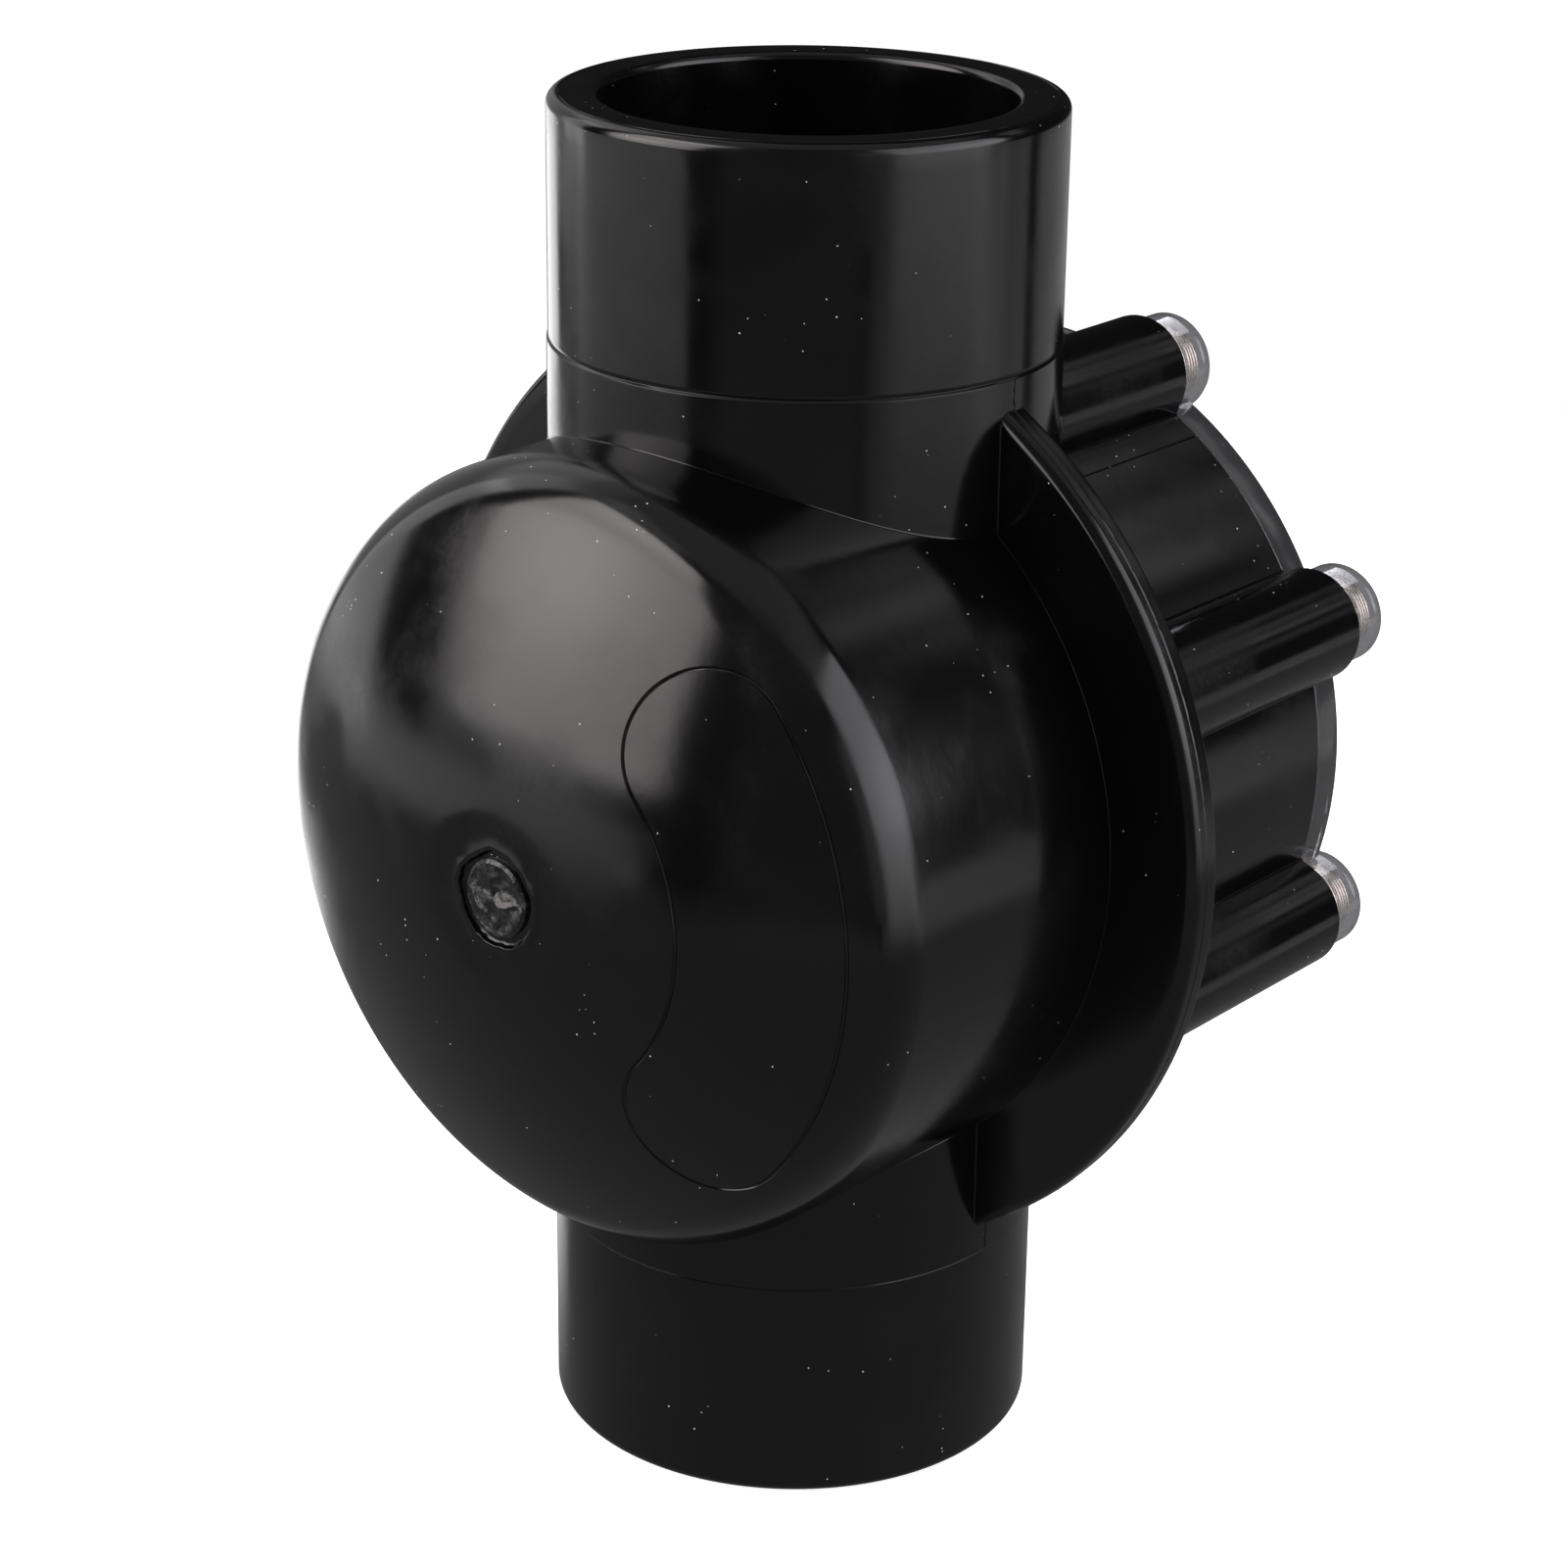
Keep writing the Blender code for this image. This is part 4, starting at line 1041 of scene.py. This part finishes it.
def blend(tree, factor, first, second):
    """A mix of two colours."""
    item = tree.nodes.new("ShaderNodeMix")
    item.data_type = "RGBA"
    tree.links.new(factor, item.inputs["Factor"])
    for socket, value in ((item.inputs[6], first), (item.inputs[7], second)):
        feed(tree, socket, (*value, 1) if isinstance(value, tuple) else value)
    return item.outputs[2]


def new_group(name, inputs, output):
    """An empty node group with named sockets. A number makes an input a value, anything else a vector."""
    tree = bpy.data.node_groups.new(name, "ShaderNodeTree")
    for key, value in inputs.items():
        kind = "NodeSocketFloat" if isinstance(value, float) else "NodeSocketVector"
        socket = tree.interface.new_socket(key, in_out="INPUT", socket_type=kind)
        if value is not None:
            socket.default_value = value
    tree.interface.new_socket(output, in_out="OUTPUT", socket_type="NodeSocketFloat")
    return tree, tree.nodes.new("NodeGroupInput").outputs, tree.nodes.new("NodeGroupOutput").inputs


def use_group(tree, group, **values):
    item = tree.nodes.new("ShaderNodeGroup")
    item.node_tree = group
    for key, value in values.items():
        feed(tree, item.inputs[key.replace("_", " ")], value)
    return item.outputs


# %% [markdown]
# ## Marks that plastic and metal share
# Dust shows as tiny pale specks: the centres of random cells, of which only some are kept, more of them
# where a coarse noise is high, because dust gathers. Smudges are patches of fine mottling, as a fingertip
# leaves them. Hairlines are where a stretched noise crosses its middle.

# %% Dust
dust_inputs = {"Position": None, "Spacing": 300.0, "Size": 0.04, "Share": 0.2}
dust, inside, out = new_group("dust", dust_inputs, "Specks")
cells = node(dust, "TexVoronoi", Vector=inside["Position"], Scale=inside["Spacing"])
chance = node(dust, "SeparateColor", Color=cells.outputs["Color"])
clouds = noisy(dust, inside["Position"], sums(dust, "MULTIPLY", inside["Spacing"], 0.06))
share = sums(dust, "MULTIPLY", inside["Share"], fade(dust, clouds, 0.5, 0.66, 0.35, 7.0))
kept = sums(dust, "LESS_THAN", chance.outputs["Red"], share)
own_size = sums(dust, "MULTIPLY", inside["Size"], sums(dust, "ADD", 0.4, chance.outputs["Green"]))
speck = sums(dust, "LESS_THAN", cells.outputs["Distance"], own_size)
dust.links.new(sums(dust, "MULTIPLY", kept, speck), out["Specks"])

# %% Smudges
smudges, inside, out = new_group("smudges", {"Position": None, "Patches": 60.0, "Amount": 0.5}, "Smear")
patches = noisy(smudges, inside["Position"], inside["Patches"], 3.0)
mottle = noisy(smudges, inside["Position"], sums(smudges, "MULTIPLY", inside["Patches"], 22.0))
patch = fade(smudges, patches, 0.45, 0.64)
fine = fade(smudges, mottle, 0.3, 0.7, 0.65, 1.0)
smear = sums(smudges, "MULTIPLY", sums(smudges, "MULTIPLY", patch, fine), inside["Amount"])
smudges.links.new(smear, out["Smear"])

# %% Hairlines
hairlines, inside, out = new_group("hairlines", {"Position": None, "Spacing": 90.0, "Width": 0.004}, "Lines")
bent = noisy(hairlines, inside["Position"], inside["Spacing"], 1.0, Distortion=1.5)
offset = sums(hairlines, "ABSOLUTE", sums(hairlines, "SUBTRACT", bent, 0.5))
line = sums(hairlines, "LESS_THAN", offset, inside["Width"])
places = noisy(hairlines, inside["Position"], sums(hairlines, "MULTIPLY", inside["Spacing"], 0.9))
somewhere = fade(hairlines, places, 0.56, 0.66)
hairlines.links.new(sums(hairlines, "MULTIPLY", line, somewhere), out["Lines"])

# %% [markdown]
# ## Black plastic
# The housing is glossy black: almost no colour of its own, so all that shows is the mirror image of the
# studio, bent by a faint waviness and broken by smudges and dust. The waviness is a bump of long and
# middling noise, with a shorter orange peel on top.

# %% Black plastic


def new_material(name):
    """A material with its node tree, its shader and the spot on the piece."""
    look = bpy.data.materials.new(name)
    look.use_nodes = True
    tree = look.node_tree
    return look, tree, tree.nodes["Principled BSDF"], node(tree, "TexCoord").outputs["Object"]


def paint(tree, shader, **values):
    """Gives the shader's sockets a link or a plain value. Names have _ for a space."""
    for key, value in values.items():
        feed(tree, shader.inputs[key.replace("_", " ")], value)


def wear(look, *pieces):
    for piece in pieces:
        piece.data.materials.clear()
        piece.data.materials.append(look)


def bump(tree, height, distance, before=None):
    item = node(tree, "Bump", Height=height, Strength=1.0, Distance=distance)
    if before is not None:
        tree.links.new(before, item.inputs["Normal"])
    return item.outputs["Normal"]


black, tree, shader, spot = new_material("black plastic")
smear = use_group(tree, smudges, Position=spot, Patches=62.0, Amount=1.0)["Smear"]
specks = use_group(tree, dust, Position=spot, Spacing=1150.0, Size=0.09, Share=0.035)["Specks"]
colour = blend(tree, specks, (0.0015, 0.0015, 0.0018), (0.6, 0.6, 0.6))
rough = sums(tree, "ADD", 0.13, sums(tree, "MULTIPLY", smear, 0.12))
rough = sums(tree, "ADD", rough, sums(tree, "MULTIPLY", specks, 0.4), clamp=True)
normal = None
for scale, detail, height in ((30.0, 0.0, 0.00022), (80.0, 1.0, 0.00004), (520.0, 2.0, 0.000006)):
    normal = bump(tree, noisy(tree, spot, scale, detail), height, normal)
paint(tree, shader, Base_Color=colour, Roughness=rough, Normal=normal, IOR=1.5)
wear(black, housing, flash)

# %% [markdown]
# The torn stub is the same plastic, stretched and greyer where it whitened under stress.

# %% Torn plastic
torn, tree, shader, spot = new_material("torn black plastic")
grain = noisy(tree, spot, 900.0, 4.0, Roughness=0.65)
colour = blend(tree, fade(tree, grain, 0.5, 0.72), (0.006, 0.006, 0.006), (0.05, 0.05, 0.052))
rough = fade(tree, grain, 0.35, 0.65, 0.12, 0.4)
paint(tree, shader, Base_Color=colour, Roughness=rough, Normal=bump(tree, grain, 0.00012))
wear(torn, stub)

# %% [markdown]
# ## Clear plastic
# The cover is clear polycarbonate with a faint cool tint. It bends light like glass. Its rim and lugs have
# slight flow lines, a few smudges and a trace of milkiness, while the window in the middle is polished.
# Shadow rays pass straight through, or the inside would be black.

# %% Clear plastic


def clear_plastic(name, weight, ripple, smudged):
    """weight is the share of light that passes, ripple is in metres, smudged is the roughness they add."""
    look, tree, shader, spot = new_material(name)
    flow = noisy(tree, spot, 110.0, 1.0, Distortion=0.8)
    smear = use_group(tree, smudges, Position=spot, Patches=70.0, Amount=1.0)["Smear"]
    rough = sums(tree, "MULTIPLY_ADD", smear, smudged, 0.01)
    paint(tree, shader, Roughness=rough, Normal=bump(tree, flow, ripple), Transmission_Weight=weight)
    paint(tree, shader, Base_Color=(0.95, 0.945, 0.98, 1), IOR=1.58)
    see_through = node(tree, "BsdfTransparent", Color=(0.9, 0.91, 0.93, 1))
    pick = tree.nodes.new("ShaderNodeMixShader")
    is_shadow = node(tree, "LightPath").outputs["Is Shadow Ray"]
    for socket, value in zip(pick.inputs, (is_shadow, shader.outputs[0], see_through.outputs[0])):
        feed(tree, socket, value)
    tree.links.new(pick.outputs[0], tree.nodes["Material Output"].inputs["Surface"])
    return look


wear(clear_plastic("clear plastic", 0.965, 0.00004, 0.025), cover)
cover.data.materials.append(clear_plastic("polished clear plastic", 1.0, 0.000006, 0.01))
for polygon in cover.data.polygons:
    middle = DRUM.inverted() @ polygon.center
    if abs(polygon.normal.y) > 0.9 and math.hypot(middle.x, middle.y) < WINDOW - 0.001:
        polygon.material_index = 1

# %% [markdown]
# ## Steel, rubber and the door's grey plastic
# The steel is stainless, slightly warm and finely scratched. The rubber is matt with a fine grain. The door
# is a filled grey plastic with pale flow marks and a soft sheen.

# %% Steel
steel, tree, shader, spot = new_material("stainless steel")
grain = noisy(tree, spot, 1400.0, 3.0)
scratch = use_group(tree, hairlines, Position=spot, Spacing=700.0, Width=0.01)["Lines"]
colour = blend(tree, fade(tree, grain, 0.3, 0.7), (0.50, 0.45, 0.40), (0.66, 0.62, 0.58))
rough = sums(tree, "ADD", fade(tree, grain, 0.3, 0.7, 0.2, 0.34), sums(tree, "MULTIPLY", scratch, 0.2))
normal = bump(tree, scratch, -0.00001, bump(tree, grain, 0.00002))
paint(tree, shader, Base_Color=colour, Roughness=rough, Normal=normal, Metallic=1.0)
wear(steel, pin, spring, plate, plate_screw)

# %% [markdown]
# The cover's screws and washers were turned on a lathe, which leaves fine rings round their axes.

# %% Turned steel
turned_steel, tree, shader, spot = new_material("turned stainless steel")
grain = noisy(tree, spot, 1400.0, 3.0)
rings = node(tree, "TexWave", bands_direction="Y", Vector=spot, Scale=620.0, Distortion=0.6, Detail=1.0)
colour = blend(tree, rings.outputs["Fac"], (0.32, 0.26, 0.21), (0.70, 0.63, 0.55))
rough = fade(tree, grain, 0.3, 0.7, 0.2, 0.34)
normal = bump(tree, grain, 0.00002, bump(tree, rings.outputs["Fac"], 0.00005))
paint(tree, shader, Base_Color=colour, Roughness=rough, Normal=normal, Metallic=1.0)
wear(turned_steel, *fasteners)

# %% Rubber and grey plastic
rubber, tree, shader, spot = new_material("black rubber")
grain = noisy(tree, spot, 2200.0, 3.0)
colour = blend(tree, grain, (0.012, 0.012, 0.012), (0.028, 0.028, 0.028))
rough = fade(tree, grain, 0.3, 0.7, 0.5, 0.7)
paint(tree, shader, Base_Color=colour, Roughness=rough, Normal=bump(tree, grain, 0.00003))
wear(rubber, ring, seal)
grey, tree, shader, spot = new_material("grey plastic")
flow = noisy(tree, spot, 120.0, 4.0, Distortion=1.2)
grain = noisy(tree, spot, 1500.0)
specks = use_group(tree, dust, Position=spot, Spacing=500.0, Size=0.05, Share=0.1)["Specks"]
base = blend(tree, fade(tree, flow, 0.35, 0.65), (0.17, 0.18, 0.19), (0.23, 0.24, 0.25))
colour = blend(tree, specks, base, (0.45, 0.45, 0.45))
rough = fade(tree, grain, 0.3, 0.7, 0.34, 0.48)
paint(tree, shader, Base_Color=colour, Roughness=rough, Normal=bump(tree, grain, 0.00002))
wear(grey, door)

# %% [markdown]
# ## The softboxes
# Black gloss shows little but reflections, so the lamps decide how it looks. Two large softboxes stand
# where their mirror images lie in the photograph: a bright one behind the dome's left and a dimmer one to
# its right. A softbox is brightest near its lamp, so each light has glows over a plain level. A third one in
# front of the cover lights the door inside, and isn't mirrored.
# Directions are compass-like: 0 looks out of the cover, 90 is the +X side, 180 the dome's side.

# %% Glow of a softbox
TARGET = Vector((0, AXIS_Y, LEVEL))


def direction(azimuth, elevation):
    a, e = math.radians(azimuth), math.radians(elevation)
    return Vector((math.sin(a) * math.cos(e), -math.cos(a) * math.cos(e), math.sin(e)))


glow, inside, out = new_group(
    "softbox glow",
    {
        "Across": 0.0,
        "Up": 0.0,
        "Centre Across": 0.0,
        "Centre Up": 0.0,
        "Width": 0.5,
        "Height": 0.5,
        "Strength": 1.0,
    },
    "Light",
)
square = []
for axis, size in (("Across", "Width"), ("Up", "Height")):
    away = sums(glow, "SUBTRACT", inside[axis], inside["Centre " + axis])
    ratio = sums(glow, "ABSOLUTE", sums(glow, "DIVIDE", away, inside[size]))
    square.append(sums(glow, "POWER", ratio, 2.0))
fall = sums(glow, "EXPONENT", sums(glow, "MULTIPLY", sums(glow, "ADD", *square), -1.0))
glow.links.new(sums(glow, "MULTIPLY", fall, inside["Strength"]), out["Light"])

# %% Softboxes
LAMP_DISTANCE = 1.2


def softbox(name, azimuth, elevation, tilt, half_size, colour, level, edges, glows):
    """A rectangular light on a plane that faces the valve. Its half size is for a distance of 1. The edges
    say how far the light fades in from the left, right, bottom and top. Each glow is (across, up, width,
    height, strength). All of these are in half sizes."""
    width, height = 2 * LAMP_DISTANCE * half_size[0], 2 * LAMP_DISTANCE * half_size[1]
    light = bpy.data.lights.new(name, "AREA")
    light.shape = "RECTANGLE"
    light.size, light.size_y = width, height
    light.energy = math.pi * width * height
    light.color = colour
    lamp = bpy.data.objects.new(name, light)
    bpy.context.scene.collection.objects.link(lamp)
    leaning = math.cos(math.radians(elevation - tilt))
    lamp.location = TARGET + direction(azimuth, elevation) * LAMP_DISTANCE / leaning
    lamp.rotation_euler = direction(azimuth, tilt).to_track_quat("Z", "Y").to_euler()
    lamp.visible_camera = False
    light.use_nodes = True
    tree = light.node_tree
    split = node(tree, "SeparateXYZ", Vector=node(tree, "NewGeometry").outputs["Parametric"])
    across = sums(tree, "MULTIPLY_ADD", split.outputs[0], 2.0, -1.0)
    up = sums(tree, "MULTIPLY_ADD", split.outputs[1], 2.0, -1.0)
    total = level
    for x, y, wide, high, strength in glows:
        shape = {"Centre_Across": x, "Centre_Up": y, "Width": wide, "Height": high, "Strength": strength}
        part = use_group(tree, glow, Across=across, Up=up, **shape)
        total = sums(tree, "ADD", total, part["Light"])
    for place, (low, high) in ((across, edges[:2]), (up, edges[2:])):
        total = sums(tree, "MULTIPLY", total, fade(tree, place, -1.0, low - 1.0))
        total = sums(tree, "MULTIPLY", total, fade(tree, place, 1.0, 1.0 - high))
    tree.links.new(total, tree.nodes["Emission"].inputs["Strength"])
    return lamp


WARM = (1.04, 0.985, 0.975)
COOL = (0.99, 0.99, 1.03)
key_glows = [(-0.15, -0.27, 0.62, 0.36, 2.2), (0.0, 0.7, 0.8, 0.45, 1.9), (-1.0, -0.85, 0.25, 0.38, -2.6)]
fill_glows = [(0.3, -0.25, 0.8, 0.45, 1.0), (-1.0, 0.5, 0.3, 0.4, -1.0), (1.0, -0.8, 0.22, 0.35, -1.6)]
key = softbox("key softbox", 148.3, 32.3, 14, (0.462, 0.637), WARM, 2.9, (0.12, 0.2, 0.1, 0.08), key_glows)
fill = softbox("fill softbox", 283.5, 25, 12, (0.58, 0.57), COOL, 2.1, (0.2, 0.08, 0.55, 0.06), fill_glows)
front = softbox("front softbox", 12, 30, 20, (0.4, 0.4), COOL, 3.5, (0.1, 0.1, 0.1, 0.1), [])
front.visible_glossy = False
print("softboxes:", key.name, fill.name, front.name)

# %% [markdown]
# ## The rest of the studio
# Between the softboxes the plastic mirrors dim things: the table, a paler wall, the ceiling. They are
# painted on the world as cards and only mirror rays see them. The camera sees plain white, which gives the
# white background. Rays through the clear cover see a darker grey, so that its edges stand out against the
# white as they do in the photograph, unless steel mirrored them, and all other rays see an even grey.

# %% Studio cards
card, inside, out = new_group(
    "studio card",
    {
        "Direction": None,
        "Toward": (0.0, -1.0, 0.0),
        "Half Angle": 0.5,
        "Low": -0.3,
        "High": 0.3,
        "Softness": 0.05,
        "Strength": 0.3,
    },
    "Light",
)
level_way = vectors(card, "NORMALIZE", vectors(card, "MULTIPLY", inside["Direction"], (1, 1, 0))[0])[0]
facing = vectors(card, "DOT_PRODUCT", level_way, inside["Toward"])["Value"]
clipped = sums(card, "MINIMUM", sums(card, "MAXIMUM", facing, -1.0), 1.0)
aside = sums(card, "ARCCOSINE", clipped)
height = sums(card, "ARCSINE", node(card, "SeparateXYZ", Vector=inside["Direction"]).outputs[2])
mask = None
for value, limit, sign in ((aside, "Half Angle", 1), (height, "High", 1), (height, "Low", -1)):
    past = sums(card, "MULTIPLY", sums(card, "SUBTRACT", value, inside[limit]), float(sign))
    within = fade(card, sums(card, "DIVIDE", past, inside["Softness"]), 1.0, -1.0)
    mask = within if mask is None else sums(card, "MULTIPLY", mask, within)
card.links.new(sums(card, "MULTIPLY", mask, inside["Strength"]), out["Light"])

# %% The world
# Each card: name, then azimuth, half angle, low edge, high edge and softness in degrees, then strength.
CARDS = [
    ("table", 0, 185, -95, -17, 3, 0.17),
    ("table under the key", 133, 33, -16, -8, 2, 0.75),
    ("key on the table", 142, 20, -8, -1, 3, 0.45),
    ("table edge, left", 65, 12, -27, -6, 3, 2.2),
    ("table edge, middle", 92, 10, -17, -4, 3, 0.2),
    ("fill on the table", 280, 23, -13, 1, 5, 1.25),
    ("fill on the table, right", 307, 7, -17, -1, 6, 0.5),
    ("beside the fill", 247, 6, -10, 32, 3, 0.35),
    ("table under the fill", 280, 32, -18, -12, 3, 0.35),
    ("table, back right", 322, 10, -18, -8, 2, 0.4),
    ("table, back", 5, 25, -18, -8, 4, 0.35),
    ("wall, camera side", 212, 32, -20, 60, 6, 0.1),
    ("wall, left", 68, 20, -6, 29, 4, 0.38),
    ("wall, upper left", 82, 25, 28, 51, 4, 0.85),
    ("wall, upper left glow", 94, 12, 30, 47, 4, 0.45),
    ("bright strip", 97, 9.5, -12, 33, 1.5, 1.25),
    ("strip, low", 327.5, 2, 12, 20, 3, 0.3),
    ("strip, middle", 332, 3, 23, 32, 3, 0.6),
    ("strip, high", 338, 5, 30, 41, 4, 0.5),
    ("strip, back", 351, 7, 36, 42, 3, 0.4),
    ("ceiling", 0, 185, 62, 95, 5, 0.3),
    ("ceiling, right", 305, 60, 50, 62, 4, 0.32),
    ("ceiling, left", 90, 40, 50, 62, 4, 0.45),
    ("glow above the key", 135, 28, 57, 67, 3, 0.35),
]
DARKEST = 0.02
EVEN_GREY = 0.35
SEEN_THROUGH = 0.13
world = bpy.data.worlds.new("studio")
bpy.context.scene.world = world
world.use_nodes = True
world.cycles.sampling_method = "NONE"
tree = world.node_tree
tree.nodes.clear()
way = node(tree, "TexCoord").outputs["Generated"]
mirrored = DARKEST
for name, azimuth, half, low, high, soft, strength in CARDS:
    limits = {"Half_Angle": math.radians(half), "Low": math.radians(low), "High": math.radians(high)}
    limits.update({"Softness": math.radians(soft), "Strength": strength, "Toward": direction(azimuth, 0)})
    mirrored = sums(tree, "ADD", use_group(tree, card, Direction=way, **limits)["Light"], mirrored)
paths = node(tree, "LightPath").outputs
above_plain = sums(tree, "SUBTRACT", mirrored, EVEN_GREY)
light = sums(tree, "ADD", EVEN_GREY, sums(tree, "MULTIPLY", paths["Is Glossy Ray"], above_plain))
was_mirrored = sums(tree, "GREATER_THAN", paths["Glossy Depth"], 0.5)
deep_in_glass = sums(tree, "GREATER_THAN", paths["Transmission Depth"], 2.5)
off_steel = sums(tree, "MULTIPLY", was_mirrored, deep_in_glass)
glass_way = sums(tree, "MULTIPLY", paths["Is Transmission Ray"], sums(tree, "SUBTRACT", 1.0, off_steel))
through_glass = sums(tree, "MULTIPLY", glass_way, sums(tree, "SUBTRACT", SEEN_THROUGH, light))
behind = sums(tree, "ADD", light, through_glass)
to_white = sums(tree, "MULTIPLY", paths["Is Camera Ray"], sums(tree, "SUBTRACT", 1.0, behind))
level = sums(tree, "ADD", behind, to_white)
background = node(tree, "Background", Color=(1, 1, 1, 1), Strength=level)
output = tree.nodes.new("ShaderNodeOutputWorld")
tree.links.new(background.outputs[0], output.inputs["Surface"])
print(len(CARDS), "cards")

# %% [markdown]
# ## Floor
# The valve stands on white paper. The paper shines for the camera only, and more further out, so that it is
# white and keeps a soft shadow close to the lower port. Mirror rays and rays through the cover don't see it:
# the plastic shows the table card instead.

# %% White paper
bpy.ops.object.select_all(action="DESELECT")
bpy.ops.mesh.primitive_circle_add(vertices=128, radius=0.5, fill_type="NGON", location=(0, AXIS_Y, 0))
floor = bpy.context.object
floor.name = "floor"
floor.visible_glossy = False
floor.visible_transmission = False
paper, tree, shader, spot = new_material("white paper")
away = vectors(tree, "LENGTH", spot)["Value"]
near_and_far = fade(tree, away, PORT_RADIUS, 1.8 * PORT_RADIUS, 0.75, 1.0)
shine = sums(tree, "MULTIPLY", node(tree, "LightPath").outputs["Is Camera Ray"], near_and_far)
paint(tree, shader, Base_Color=(0.8, 0.8, 0.8, 1), Roughness=0.9)
paint(tree, shader, Emission_Color=(1, 1, 1, 1), Emission_Strength=shine)
wear(paper, floor)

# %% [markdown]
# ## Camera
# The camera was fitted to the photograph: where it stands, how it is turned and its focal length.

# %% Camera
AZIMUTH, ELEVATION, ROLL = 219.701, 21.242, math.radians(0.735)
DISTANCE, RISE, SIDESTEP = 0.468076, 0.081855, -0.001818
FOCAL_PIXELS, FRAME_PIXELS, SENSOR = 3899.166, 1601, 36.0
back = direction(AZIMUTH, ELEVATION)
right = direction(AZIMUTH + 90, 0)
up = back.cross(right)
place = Vector((0, AXIS_Y, RISE)) + back * DISTANCE + right * SIDESTEP
rolled_right = right * math.cos(ROLL) + up * math.sin(ROLL)
rolled_up = up * math.cos(ROLL) - right * math.sin(ROLL)
lens = bpy.data.cameras.new("camera")
lens.sensor_width = SENSOR
lens.lens = SENSOR * FOCAL_PIXELS / FRAME_PIXELS
lens.clip_start = 0.01
camera = bpy.data.objects.new("camera", lens)
bpy.context.scene.collection.objects.link(camera)
turned_axes = Matrix((rolled_right, rolled_up, back)).transposed().to_4x4()
camera.matrix_world = Matrix.Translation(place) @ turned_axes
bpy.context.scene.camera = camera
bpy.context.scene.view_settings.view_transform = "Standard"
print("focal length", round(lens.lens, 2), "mm")
